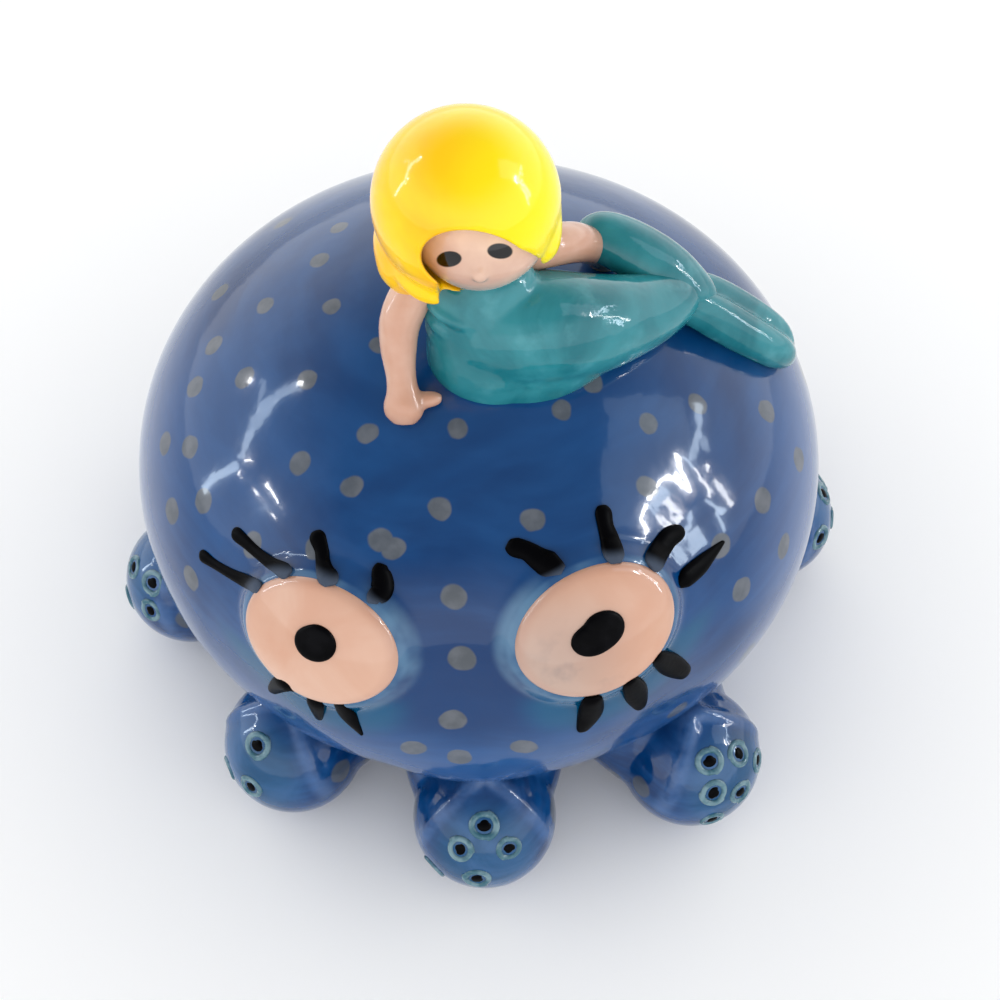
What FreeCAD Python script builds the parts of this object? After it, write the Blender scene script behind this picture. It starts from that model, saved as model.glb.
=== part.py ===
import FreeCAD, Part
import math
import os

# Octopus figurine in glazed ceramic, with a small mermaid leaning on its head.
# Lengths are in millimetres and angles in degrees. +Z is up and the face looks along -Y.
# Every piece is modelled about the upright axis of the head. At the end all of them are
# moved together, so that the origin lies on the table, in the middle of the outline.
# An azimuth is counted from the face towards the viewer's right, seen from the front.

Vector = FreeCAD.Vector
UP = Vector(0, 0, 1)

# Mantle: the round head, a flattened ball cast hollow and cut flat underneath. Its outline
# is an oval of two arcs, a tighter one round the girth and a flatter one over the crown.
mantle_radius = 66.0
mantle_rise = 49.2
girth_round = 40.0
girth_height = 43.0
underside_height = 4.0
mantle_wall = 4.5
vent_radius = 6.0

# Eye mounds on the mantle, each a broad low dome with a raised oval lid
mound_radius = 34.0
mound_rise = 3.2
lid_width = 2.4
lid_rise = 1.3
lid_round = 0.9

# Eyes: oval domes on the lids, with a thick drop of black for a pupil
eye_half_width = 14.4
eye_half_height = 11.3
eye_rise = 2.0
eye_round = 0.9
left_eye_height = 62.5
right_eye_height = 66.0
left_eye_azimuth = -21.0
right_eye_azimuth = 22.7
left_eye_tilt = 2.0
right_eye_tilt = 9.0
pupil_rise = 0.7
left_pupil_half_width = 3.9
right_pupil_half_width = 4.7
pupil_half_height = 3.6
# the pupil's place across and up from the eye's middle, as shares of the eye's half sizes
left_pupil_shares = (0.06, 0.13)
right_pupil_shares = (-0.05, 0.08)

# Lashes: slip-trailed strokes with round ends
lash_thickness = 2.6
lash_sink_share = 0.45
# base across, base up, tip across, tip up, as shares of the eye's half width and half height,
# then the thickness at the base and at the tip
left_lash_shares = (
    (-0.95, 0.39, -2.00, 0.17, 1.00, 0.85),
    (-0.61, 0.75, -1.51, 0.85, 1.05, 0.90),
    (-0.02, 0.96, -0.36, 1.45, 1.10, 1.05),
    (0.68, 0.88, 0.49, 1.32, 1.45, 1.15),
    (-0.36, -0.98, -0.66, -1.45, 1.50, 0.80),
    (0.04, -1.03, 0.02, -1.60, 1.35, 0.75),
    (0.40, -1.05, 0.56, -1.70, 1.35, 0.60),
)
right_lash_shares = (
    (-0.11, 1.11, -0.54, 1.56, 1.45, 1.25),
    (0.50, 0.95, 0.63, 1.50, 1.20, 1.10),
    (0.93, 0.60, 1.48, 0.69, 1.20, 1.00),
    (1.22, 0.05, 1.92, 0.11, 1.25, 0.65),
    (0.64, -0.98, 0.99, -1.60, 1.60, 1.35),
    (0.26, -1.15, 0.21, -1.72, 1.55, 1.25),
    (-0.33, -1.12, -0.54, -1.74, 1.60, 1.20),
)

# Arms: stubby, flared at the root, standing on a small flat and curling up at the tip
arm_beyond = 10.0
arm_reach = mantle_radius + arm_beyond
arm_width = 27.0
foot_flat = 1.0
# top of the curled tip above the table, as a share of the arm's width
curl_height_share = 28 / 27
curl_height = curl_height_share * arm_width
arm_azimuths = (5.0, 43.0, 101.0, 145.5, 190.0, 234.5, 282.0, 327.0)
arm_reach_shares = (1.006, 1.026, 0.99, 0.99, 0.99, 0.99, 0.965, 0.957)
# root: place as a share of the reach, height and radius as shares of the arm's width
root_shares = ((0.45, 0.77, 0.66), (0.66, 0.58, 0.56))
# radius of the curled tip, and how far it leans back to the head, as shares of the arm's width
tip_radius_share = 0.22
tip_back_share = 2.5 / 27
tip_set_back = tip_back_share * arm_width

# Suckers: raised rings on the outward side of each foot, as shares of the arm's width
sucker_radius_share = 2.3 / 27
sucker_thickness_share = 1.6 / 27
sucker_radius = sucker_radius_share * arm_width
sucker_thickness = sucker_thickness_share * arm_width
# for each arm, the turn of its rings sideways and upwards from straight outward; the arms at
# the back are not seen in the photo and share one pattern
unseen_suckers = ((0, 38), (-19, 14), (19, 14), (0, -12))
sucker_places = (
    ((-2, 54), (-24, 31), (22, 32), (-7, 3), (-49, -17)),
    ((-23, 54), (18, 45), (35, 18), (-24, 27), (2, 14), (-24, -8)),
    ((-48, 15), (-8, 36), (-12, 4), (22, 18)),
    unseen_suckers,
    unseen_suckers,
    unseen_suckers,
    ((44, 42), (49.5, 15.4), (7, 34), (8, -8)),
    ((-4, 49), (3, 9), (-30, -4)),
)

# Mermaid: seated ahead of the crown. Places are shares of her height, across and back from
# her seat, and up from the mantle's surface under each place.
mermaid_height_share = 0.72
mermaid_height = mermaid_height_share * mantle_radius
seat_across = 4.0
seat_ahead = 16.0
# place, then half width and half depth of the section
torso_shares = (
    (-0.06, 0.07, 0.42, 0.080, 0.080),
    (-0.06, 0.06, 0.35, 0.165, 0.120),
    (-0.05, 0.04, 0.25, 0.211, 0.168),
    (-0.03, 0.02, 0.13, 0.225, 0.196),
    (0.00, 0.00, 0.01, 0.253, 0.221),
    (0.00, 0.00, -0.12, 0.253, 0.221),
)
tail_shares = (
    (-0.16, 0.00, 0.09, 0.050, 0.050),
    (-0.11, 0.00, 0.10, 0.160, 0.150),
    (0.02, 0.00, 0.12, 0.200, 0.206),
    (0.17, 0.02, 0.13, 0.206, 0.211),
    (0.34, 0.09, 0.11, 0.179, 0.181),
    (0.51, 0.21, 0.09, 0.133, 0.133),
    (0.63, 0.32, 0.11, 0.097, 0.097),
    (0.70, 0.38, 0.12, 0.060, 0.060),
)
upper_fluke_shares = (
    (0.78, 0.36, 0.10, 0.020, 0.020),
    (0.75, 0.37, 0.12, 0.074, 0.063),
    (0.63, 0.39, 0.17, 0.105, 0.085),
    (0.48, 0.42, 0.19, 0.110, 0.088),
    (0.36, 0.44, 0.20, 0.092, 0.080),
    (0.29, 0.45, 0.19, 0.050, 0.045),
    (0.27, 0.45, 0.19, 0.015, 0.015),
)
lower_fluke_shares = (
    (0.62, 0.34, 0.10, 0.030, 0.030),
    (0.66, 0.36, 0.10, 0.080, 0.065),
    (0.76, 0.39, 0.09, 0.110, 0.080),
    (0.90, 0.41, 0.07, 0.116, 0.080),
    (1.04, 0.42, 0.07, 0.100, 0.072),
    (1.11, 0.43, 0.07, 0.055, 0.045),
    (1.13, 0.43, 0.07, 0.015, 0.015),
)
# place, then radius, along a chain of strokes
near_arm_shares = (
    (-0.27, 0.03, 0.31, 0.074),
    (-0.335, -0.06, 0.23, 0.074),
    (-0.315, -0.23, 0.06, 0.054),
)
near_hand_shares = ((-0.315, -0.225, 0.05, 0.056), (-0.305, -0.28, 0.01, 0.074))
near_thumb_shares = ((-0.29, -0.25, 0.01, 0.040), (-0.20, -0.23, 0.01, 0.034))
far_arm_shares = (
    (0.10, 0.16, 0.33, 0.074),
    (0.25, 0.29, 0.28, 0.078),
    (0.365, 0.49, 0.07, 0.058),
)
far_hand_shares = ((0.365, 0.48, 0.06, 0.060), (0.38, 0.54, 0.01, 0.074))
left_lock_shares = ((-0.30, 0.06, 0.50, 0.135), (-0.30, 0.02, 0.38, 0.115))
right_lock_shares = ((0.12, 0.03, 0.53, 0.110), (0.14, 0.00, 0.44, 0.080))
hair_shares = (-0.11, 0.07, 0.65, 0.322)
face_shares = (-0.06, 0.04, 0.58, 0.240)
# the opening of the hair over the face runs outward and up
face_window_shares = ((-0.045, -0.08, 0.56, 0.185), (-0.03, -0.50, 0.86, 0.215))

# One overrun lets every cut run clear of what it cuts
overrun = 20.0

# Points on each round section, and steps that bring a point down onto the head
ring_points = 12
approach_steps = 12


def out_direction(azimuth):
    """Level direction away from the axis at an azimuth."""
    turn = math.radians(azimuth)
    return Vector(math.sin(turn), -math.cos(turn), 0)


def crown_round():
    """Radius of the flatter arc over the crown, which runs smoothly into the girth's arc."""
    inset = mantle_radius - girth_round
    return (inset**2 + mantle_rise**2 - girth_round**2) / (2 * (mantle_rise - girth_round))


def mantle_slope_share():
    """Cosine of the turn from the axis at which the crown's arc meets the girth's arc."""
    return (crown_round() - mantle_rise) / (crown_round() - girth_round)


def mantle_top(across, back):
    """Height of the plain mantle's upper surface over a place on the table."""
    radius = math.hypot(across, back)
    crown = crown_round()
    if radius < crown * math.sqrt(1 - mantle_slope_share() ** 2):
        return girth_height + mantle_rise - crown + math.sqrt(crown**2 - radius**2)
    beyond = radius - mantle_radius + girth_round
    return girth_height + math.sqrt(girth_round**2 - beyond**2)


def mantle_point(azimuth, height):
    """Point on the mantle's girth arc at an azimuth and a height, with its outward normal."""
    outward = out_direction(azimuth)
    centre = outward * (mantle_radius - girth_round) + UP * girth_height
    lift_share = (height - girth_height) / girth_round
    normal = outward * math.sqrt(1 - lift_share**2) + UP * lift_share
    return centre + normal * girth_round, normal


def mantle_gap(place):
    """How far a place stands off the plain mantle."""
    radius = math.hypot(place.x, place.y)
    lift = abs(place.z - girth_height)
    inset = mantle_radius - girth_round
    drop = crown_round() - mantle_rise
    if (lift + drop) * inset > drop * radius:
        return math.hypot(radius, lift + drop) - crown_round()
    return math.hypot(radius - inset, lift) - girth_round


def ring(middle, first, second):
    """Closed smooth oval whose half sizes are the lengths of two directions."""
    points = []
    for step in range(ring_points):
        turn = 2 * math.pi * step / ring_points
        points.append(middle + first * math.cos(turn) + second * math.sin(turn))
    curve = Part.BSplineCurve()
    curve.interpolate(Points=points, PeriodicFlag=True)
    return Part.Wire(curve.toShape())


def skin(rings):
    """Closed solid through a row of rings."""
    return Part.makeLoft(rings, True, False)


def arc(first, middle, last):
    """Arc through three points."""
    return Part.Arc(first, middle, last).toShape()


def turned_point(centre, radius, turn):
    """Point in the XZ plane at a turn up from level, about a centre."""
    return centre + Vector(radius * math.cos(turn), 0, radius * math.sin(turn))


def stroke(start, end, start_radius, end_radius):
    """Rounded stroke: a ball at each end and the cone that touches both."""
    along = end - start
    lean = math.asin((start_radius - end_radius) / along.Length)
    far = UP * along.Length
    down = -math.pi / 2
    up = math.pi / 2
    low = [turned_point(Vector(), start_radius, turn) for turn in (down, (down + lean) / 2, lean)]
    high = [turned_point(far, end_radius, turn) for turn in (lean, (lean + up) / 2, up)]
    edges = [arc(*low), Part.makeLine(low[-1], high[0]), arc(*high), Part.makeLine(high[-1], low[0])]
    solid = Part.Face(Part.Wire(edges)).revolve(Vector(), UP, 360)
    return solid.rotated(Vector(), *turn_onto(along)).translated(start)


def chain(stations):
    """Rounded strokes from each station, a point and a radius, to the next."""
    linked = None
    for (start, start_radius), (end, end_radius) in zip(stations, stations[1:]):
        link = stroke(start, end, start_radius, end_radius)
        linked = linked.fuse(link) if linked else link
    return linked


def turn_onto(along):
    """Axis and angle of the turn that takes straight up onto a direction."""
    turn = FreeCAD.Rotation(UP, along)
    return turn.Axis, math.degrees(turn.Angle)


def limb(stations):
    """Solid that follows stations: point, half width and half depth. Rings stand square to the way."""
    points = [station[0] for station in stations]
    rings = []
    for index, (point, half_width, half_depth) in enumerate(stations):
        before = points[max(index - 1, 0)]
        after = points[min(index + 1, len(points) - 1)]
        along = (after - before).normalize()
        helper = Vector(0, 1, 0) if abs(along.z) > abs(along.x) + abs(along.y) else UP
        side = along.cross(helper).normalize()
        rings.append(ring(point, side * half_width, along.cross(side) * half_depth))
    return skin(rings)


def revolved_oval(inset, floor):
    """The mantle's oval, drawn in all round by an inset, cut flat at the floor and revolved."""
    crown = crown_round() - inset
    girth = girth_round - inset
    slope = math.asin(mantle_slope_share())
    top_centre = UP * (girth_height + mantle_rise - crown_round())
    girth_centre = Vector(mantle_radius - girth_round, 0, girth_height)
    low_centre = UP * (girth_height - mantle_rise + crown_round())
    foot = -math.asin((low_centre.z - floor) / crown)
    low = [turned_point(low_centre, crown, turn) for turn in (foot, (foot - slope) / 2, -slope)]
    side = [turned_point(girth_centre, girth, turn) for turn in (-slope, 0, slope)]
    top_turns = (slope, (slope + math.pi / 2) / 2, math.pi / 2)
    top = [turned_point(top_centre, crown, turn) for turn in top_turns]
    centre = UP * floor
    edges = [Part.makeLine(centre, low[0]), arc(*low), arc(*side), arc(*top)]
    edges.append(Part.makeLine(top[-1], centre))
    return Part.Face(Part.Wire(edges)).revolve(Vector(), UP, 360)


def eye_frame(azimuth, height, tilt):
    """Middle of an eye on the plain mantle, and its across, up and outward directions."""
    point, normal = mantle_point(azimuth, height)
    level = UP.cross(normal).normalize()
    rise = normal.cross(level)
    turn = math.radians(tilt)
    across = level * math.cos(turn) + rise * math.sin(turn)
    return point, across, normal.cross(across), normal


def oval_prism(frame, half_width, half_height):
    """Oval post through the head's surface, square to it."""
    point, across, rise, normal = frame
    oval = Part.Ellipse(point + across * half_width, point + rise * half_height, point)
    base = Part.Face(Part.Wire(oval.toShape()))
    return base.translated(normal * -overrun).extrude(normal * (2 * overrun))


def mound_ball(frame, extra_rise):
    """Ball that bulges out of the mantle as an eye mound, or as a layer on it."""
    point, _, _, normal = frame
    return Part.makeSphere(mound_radius + extra_rise, point - normal * (mound_radius - mound_rise))


def rounded_step(frame, half_width, half_height, ball_rise, rounding):
    """Oval step that stands on the mound, with its outer rim rounded."""
    post = oval_prism(frame, half_width, half_height)
    step = post.common(mound_ball(frame, ball_rise))
    rim = max(step.Edges, key=lambda edge: (edge.CenterOfMass - frame[0]).dot(frame[3]))
    return step.makeFillet(rounding, [rim])


def mantle_body(plain, frames):
    """The mantle's full outer form, with its eye mounds and lids."""
    body = plain
    for frame in frames:
        lid = rounded_step(
            frame, eye_half_width + lid_width, eye_half_height + lid_width, lid_rise, lid_round
        )
        body = body.fuse(mound_ball(frame, 0)).fuse(lid)
    return body


def mantle_shell(body):
    """The mantle with its hollow and the vent in its underside."""
    hollow = revolved_oval(mantle_wall, underside_height + mantle_wall)
    vent = Part.makeCylinder(vent_radius, mantle_wall + overrun, UP * (underside_height - overrun / 2))
    return body.cut(hollow).cut(vent)


def eye(frame, body):
    """Domed oval eye on its lid."""
    step = rounded_step(frame, eye_half_width, eye_half_height, lid_rise + eye_rise, eye_round)
    return step.cut(body)


def pupil(frame, half_width, shares, eye_solid, body):
    """Thick drop of black near the middle of an eye."""
    point, across, rise, normal = frame
    place = point + across * (shares[0] * eye_half_width) + rise * (shares[1] * eye_half_height)
    post = oval_prism((place, across, rise, normal), half_width, pupil_half_height)
    drop = post.common(mound_ball(frame, lid_rise + eye_rise + pupil_rise))
    return drop.cut(eye_solid).cut(body)


def head_hit(frame, place):
    """Point of the mantle or of its eye mound that lies over a place, square to the eye."""
    point, _, _, normal = frame
    mound_middle = point - normal * (mound_radius - mound_rise)
    place = place + normal * mound_rise
    for _ in range(approach_steps):
        mound_gap = (place - mound_middle).Length - mound_radius
        place = place - normal * min(mantle_gap(place), mound_gap)
    return place


def lash(frame, shares, body, eye_solid):
    """One thick stroke from the lid outwards, standing proud of the surface."""
    point, across, rise, normal = frame
    ends = []
    for index in (0, 2):
        place = point + across * (shares[index] * eye_half_width)
        place = place + rise * (shares[index + 1] * eye_half_height)
        ends.append(head_hit(frame, place))
    radii = [lash_thickness / 2 * shares[index] for index in (4, 5)]
    sunk = [end - normal * (radius * lash_sink_share) for end, radius in zip(ends, radii)]
    return stroke(*sunk, *radii).cut(body).cut(eye_solid)


def lashes(frame, table, body, eye_solid):
    """All strokes round one eye."""
    return Part.makeCompound([lash(frame, shares, body, eye_solid) for shares in table])


def foot_ball():
    """Middle and radius of the ball that the arm at azimuth 0 ends in."""
    radius = arm_width / 2
    return out_direction(0) * (arm_reach - radius) + UP * (radius - foot_flat), radius


def pattern_arm():
    """The arm that all eight are copies of, at azimuth 0: root, standing foot and curled tip."""
    foot, foot_radius = foot_ball()
    stations = []
    for place_share, height_share, radius_share in root_shares:
        middle = out_direction(0) * (place_share * arm_reach) + UP * (height_share * arm_width)
        stations.append((middle, radius_share * arm_width))
    stations.append((foot, foot_radius))
    tip_radius = tip_radius_share * arm_width
    lean = UP * (curl_height - tip_radius - foot.z) - out_direction(0) * tip_set_back
    stations.append((foot + lean, tip_radius))
    table = Part.makeCylinder(2 * arm_reach, 2 * overrun, UP * (-2 * overrun))
    return chain(stations).cut(table)


def sucker_ring():
    """Raised ring on a foot, about the upright through the foot's middle."""
    _, foot_radius = foot_ball()
    half = sucker_thickness / 2
    spread = math.asin(sucker_radius / foot_radius)
    edge = 2 * math.asin(half / 2 / foot_radius)
    top = math.pi / 2 - spread
    inner = turned_point(Vector(), foot_radius, top + edge)
    outer = turned_point(Vector(), foot_radius, top - edge)
    crest = turned_point(Vector(), foot_radius + half, top)
    bed = turned_point(Vector(), foot_radius, top)
    profile = Part.Wire([arc(inner, crest, outer), arc(outer, bed, inner)])
    return Part.Face(profile).revolve(Vector(), UP, 360)


def suckers(places):
    """The rings on the outward side of the pattern arm's foot."""
    foot, _ = foot_ball()
    rings = []
    for sideways, upwards in places:
        level = out_direction(sideways) * math.cos(math.radians(upwards))
        outward = level + UP * math.sin(math.radians(upwards))
        rings.append(sucker_ring().rotated(Vector(), *turn_onto(outward)).translated(foot))
    return Part.makeCompound(rings)


def spread_out(shape, reach_share, azimuth):
    """A copy of a shape from azimuth 0, moved out to an arm's reach and round to its azimuth."""
    moved = shape.translated(out_direction(0) * ((reach_share - 1) * arm_reach))
    return moved.rotated(Vector(), UP, azimuth)


def arm_clearance(plain):
    """What an arm may not fill: the mantle and the space right under it."""
    drop = girth_height - underside_height - mantle_rise + crown_round()
    underside_radius = math.sqrt(crown_round() ** 2 - drop**2)
    under = Part.makeCylinder(underside_radius, underside_height + overrun, UP * -overrun)
    return plain.fuse(under)


def arm_wedge(index):
    """Wedge of space that one arm may fill, up to halfway to its neighbours."""
    count = len(arm_azimuths)
    here = arm_azimuths[index]
    before = arm_azimuths[index - 1] - (360 if index == 0 else 0)
    after = arm_azimuths[(index + 1) % count] + (360 if index == count - 1 else 0)
    floor = UP * -overrun
    corners = [floor]
    corners.append(floor + out_direction((before + here) / 2) * (2 * arm_reach))
    corners.append(floor + out_direction((here + after) / 2) * (2 * arm_reach))
    corners.append(floor)
    height = curl_height + 2 * overrun
    return Part.Face(Part.makePolygon(corners)).extrude(UP * height)


def arms(plain):
    """The eight arms and their suckers by name, fitted to the mantle and to each other."""
    clearance = arm_clearance(plain)
    pattern = pattern_arm()
    fitted = {}
    pieces = {}
    for index, (azimuth, share) in enumerate(zip(arm_azimuths, arm_reach_shares)):
        if share not in fitted:
            fitted[share] = spread_out(pattern, share, 0).cut(clearance)
        turned = fitted[share].rotated(Vector(), UP, azimuth)
        pieces[f"arm_{index + 1}"] = turned.common(arm_wedge(index))
        rings = suckers(sucker_places[index])
        pieces[f"suckers_{index + 1}"] = spread_out(rings, share, azimuth)
    return pieces


def figure_place(shares):
    """Point of the mermaid from its three place shares."""
    across = seat_across + shares[0] * mermaid_height
    back = shares[1] * mermaid_height - seat_ahead
    return Vector(across, back, mantle_top(across, back) + shares[2] * mermaid_height)


def figure_limb(table):
    """Part of the mermaid that follows a row of stations."""
    return limb(
        [(figure_place(row), row[3] * mermaid_height, row[4] * mermaid_height) for row in table]
    )


def figure_chain(table):
    """Part of the mermaid made of rounded strokes from each place in a row to the next."""
    return chain([(figure_place(row), row[3] * mermaid_height) for row in table])


def figure_ball(shares):
    """Round part of the mermaid."""
    return Part.makeSphere(shares[3] * mermaid_height, figure_place(shares))


def mermaid(plain):
    """The mermaid's pieces by name, each fitted to those before it."""
    dress = figure_limb(torso_shares).fuse(figure_limb(tail_shares)).cut(plain)
    lower_fluke = figure_limb(lower_fluke_shares).cut([plain, dress])
    upper_fluke = figure_limb(upper_fluke_shares).cut([plain, dress, lower_fluke])
    head = figure_ball(face_shares).cut(dress)
    hair = figure_ball(hair_shares)
    for lock in (left_lock_shares, right_lock_shares):
        hair = hair.fuse(figure_chain(lock))
    hair = hair.cut([figure_ball(face_shares), figure_chain(face_window_shares), dress])
    near_arm = figure_chain(near_arm_shares)
    near_arm = near_arm.fuse([figure_chain(near_hand_shares), figure_chain(near_thumb_shares)])
    near_arm = near_arm.cut([plain, dress, head, hair])
    far_arm = figure_chain(far_arm_shares).fuse(figure_chain(far_hand_shares))
    far_arm = far_arm.cut([plain, dress, head, hair, upper_fluke])
    return {
        "mermaid_body": dress,
        "mermaid_fluke_lower": lower_fluke,
        "mermaid_fluke_upper": upper_fluke,
        "mermaid_head": head,
        "mermaid_hair": hair,
        "mermaid_arm_near": near_arm,
        "mermaid_arm_far": far_arm,
    }


def figurine():
    """Every piece of the figurine by name, about the axis of the head."""
    left = eye_frame(left_eye_azimuth, left_eye_height, left_eye_tilt)
    right = eye_frame(right_eye_azimuth, right_eye_height, right_eye_tilt)
    plain = revolved_oval(0, underside_height)
    body = mantle_body(plain, (left, right))
    pieces = {"mantle_shell": mantle_shell(body)}
    sides = (
        ("left", left, left_lash_shares, left_pupil_half_width, left_pupil_shares),
        ("right", right, right_lash_shares, right_pupil_half_width, right_pupil_shares),
    )
    for side, frame, table, pupil_half_width, pupil_shares in sides:
        solid = eye(frame, body)
        pieces["eye_" + side] = solid
        pieces["pupil_" + side] = pupil(frame, pupil_half_width, pupil_shares, solid, body)
        pieces["lashes_" + side] = lashes(frame, table, body, solid)
    pieces.update(arms(plain))
    pieces.update(mermaid(plain))
    return pieces


def main():
    """Builds the figurine, sets its origin and writes one file for each piece."""
    pieces = figurine()
    outline = Part.makeCompound(list(pieces.values())).optimalBoundingBox(False)
    to_origin = Vector(-outline.Center.x, -outline.Center.y, 0)
    os.makedirs("parts", exist_ok=True)
    for name, shape in pieces.items():
        shape.translated(to_origin).exportStep(f"parts/{name}.step")
        solids = len(shape.Solids)
        print(f"{name}: {solids} solids, {shape.Volume / 1000:.2f} cm3, valid {shape.isValid()}")
    print(f"outline {outline.XLength:.1f} x {outline.YLength:.1f} x {outline.ZLength:.1f}, {outline.ZMin:.2f}")


main()
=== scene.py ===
import math

import bmesh
import bpy
import numpy as np
from mathutils import Matrix, Vector


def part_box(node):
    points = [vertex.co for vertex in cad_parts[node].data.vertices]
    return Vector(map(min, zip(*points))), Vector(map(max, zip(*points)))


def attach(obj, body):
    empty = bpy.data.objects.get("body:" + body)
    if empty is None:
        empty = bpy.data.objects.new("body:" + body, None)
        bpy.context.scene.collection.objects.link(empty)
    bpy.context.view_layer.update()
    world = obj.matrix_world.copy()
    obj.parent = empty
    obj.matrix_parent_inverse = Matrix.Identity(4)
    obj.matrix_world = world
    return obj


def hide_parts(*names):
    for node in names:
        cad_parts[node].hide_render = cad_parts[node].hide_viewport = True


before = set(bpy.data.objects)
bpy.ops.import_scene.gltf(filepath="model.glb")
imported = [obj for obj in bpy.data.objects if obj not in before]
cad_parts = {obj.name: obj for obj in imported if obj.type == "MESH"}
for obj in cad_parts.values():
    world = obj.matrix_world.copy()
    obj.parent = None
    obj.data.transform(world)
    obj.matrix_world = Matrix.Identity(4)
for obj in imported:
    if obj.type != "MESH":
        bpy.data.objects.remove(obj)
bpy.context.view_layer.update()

bl_info = {
    "name": "Octopus figurine",
    "version": (1, 0, 0),
    "blender": (4, 5, 0),
    "location": "View3D > Sidebar > Octopus",
    "description": "Dresses the glazed ceramic octopus and the mermaid on its head",
    "category": "Object",
}

# Lengths below are in millimetres and are turned into metres when a mesh is made.
# Every place is counted from the point on the table under the middle of the head.
MM = 0.001
UP = Vector((0, 0, 1))

# Where the head's upright axis stands in the frame, read from the solid head
HEAD_LOW, HEAD_HIGH = (Vector(corner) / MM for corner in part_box("mantle_shell"))
AXIS = Vector(((HEAD_LOW.x + HEAD_HIGH.x) / 2, HEAD_HIGH.y - (HEAD_HIGH.x - HEAD_LOW.x) / 2, 0))

# Head: an oval of two arcs, turned round the axis
HEAD_RADIUS = (HEAD_HIGH.x - HEAD_LOW.x) / 2
HEAD_RISE = 49.2
GIRTH_ROUND = 40.0
GIRTH_HEIGHT = 43.0
HEAD_FLOOR = HEAD_LOW.z
CROWN_ROUND = ((HEAD_RADIUS - GIRTH_ROUND) ** 2 + HEAD_RISE**2 - GIRTH_ROUND**2) / (
    2 * (HEAD_RISE - GIRTH_ROUND)
)
MOUND_RADIUS = 34.0
MOUND_RISE = 3.2
BLEND = 3.0
SETTLE_STEPS = 12

# Underside: borders round the flat face, then the vent's share of it, its lip and its depth
UNDERSIDE_BORDERS = (0.8, 1.2)
VENT_SHARE = 0.18
VENT_LIP = 0.4
VENT_LIP_RISE = 0.5
VENT_DEPTH = 14.0

# Eyes: azimuth, height, tilt, half width, half height
EYES = {
    "left": (-21.0, 62.5, 2.0, 14.4, 11.3),
    "right": (22.7, 66.0, 9.0, 14.4, 11.3),
}
LID_WIDTH = 3.3
LID_RISE = 1.9
EYE_AREA = 23.0
BUTTON_SIDES = 72
# eyes and pupils rise off the head in steps: share of the half sizes, height
EYE_PROFILE = (
    (1.0, 0.3), (1.0, 1.6), (0.993, 2.2), (0.972, 2.7), (0.935, 3.0), (0.86, 3.2),
    (0.70, 3.3), (0.45, 3.4), (0.2, 3.45), (0.04, 3.46),
)
PUPIL_PROFILE = (
    (1.0, 3.0), (1.0, 3.55), (0.96, 3.85), (0.85, 4.05), (0.6, 4.2), (0.3, 4.25), (0.05, 4.26),
)
# pupils: middle across and up in the eye, half width, half height, depth of the dent
PUPILS = {
    "left": ((0.8, 1.4), 3.7, 3.5, 0.06),
    "right": ((-0.7, 0.9), 4.6, 3.7, 0.16),
}
DENT_TURN = 2.3
DENT_SPREAD = 0.5
DENT_SWELL = 0.5
DENT_LEAN = 0.7
LANDING_RISE = 12.0
LANDING_STEPS = 40

# Soft hollows and swellings of the head: azimuth, height, depth inwards, spread
HAND_MARKS = (
    (1.0, 55.0, 1.6, 9.0),
    (1.0, 42.0, 0.9, 10.0),
    (-15.0, 21.0, 1.6, 7.0),
    (3.0, 27.0, -1.3, 13.0),
    (-30.0, 45.0, 0.8, 10.0),
    (34.0, 47.0, 0.8, 10.0),
)

# The photograph's camera, seen from the head's axis
CAMERA_AZIMUTH = 4.0
CAMERA_HEIGHT = 51.0
CAMERA_DISTANCE = 360.0
CAMERA_AIM = Vector((0, 0, 43.0))
PHOTO_SIZE = 1000
PHOTO_FOCAL = 1830.0
PHOTO_CENTRE = (478.8, 452.5)

# Arms: azimuth and how far out each is moved, then the pattern arm's own sections
ARMS = (
    (5.0, 0.5), (43.0, 2.0), (101.0, -0.8), (145.5, -0.8),
    (190.0, -0.8), (234.5, -0.8), (282.0, -2.7), (327.0, -3.3),
)
ARM_REACH = 76.0
FOOT_RADIUS = 13.5
FOOT_LIFT = 12.5
# out from the axis, height, half width, half thickness
ARM_ROOT = (
    (32.0, 21.4, 18.8, 17.4),
    (43.0, 18.4, 17.6, 15.4),
    (50.0, 15.8, 16.0, 13.6),
    (56.0, 13.4, 14.2, 11.4),
    (61.0, 12.5, 12.4, 9.6),
)
ARM_TIP = (
    (61.5, 12.5, 11.0, 9.0),
    (61.2, 17.0, 8.8, 7.4),
    (60.6, 21.0, 6.6, 6.0),
    (60.0, 24.6, 4.4, 4.0),
    (59.6, 27.0, 2.2, 2.0),
)
# the raised edge of the sucker side, from the tip down one flank: out, sideways, height, radius
ARM_RIDGE = (
    (61.6, 0.6, 26.8, 1.3),
    (64.6, 4.2, 24.6, 1.5),
    (67.0, 8.2, 21.2, 1.5),
    (67.9, 10.6, 16.8, 1.4),
    (67.2, 11.4, 13.0, 1.0),
)
ARM_GRAIN = 0.7
RIDGE_REACH = 3.4
# middle of the sucker side, from the foot of an arm that points to the front
SUCKER_SIDE = Vector((0, -9, 4))
SUCKER_SIDE_REACH = 13.0
# brush dabs on an arm: sideways and outward from the foot's middle, and height
ARM_DOTS = (
    (12.5, 1, 16), (-12.5, 0, 15), (10.5, -8, 22), (-10.5, -9, 22), (13, -7, 12), (-13, -7, 11),
)
SUCKER_RADIUS = 2.15
SUCKER_BAND = 0.6
SUCKER_MIDDLE = 1.35
SUCKER_SINK = 0.3
SUCKER_TWIST = 1.4
SUCKER_SHRINK = 0.06
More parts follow.
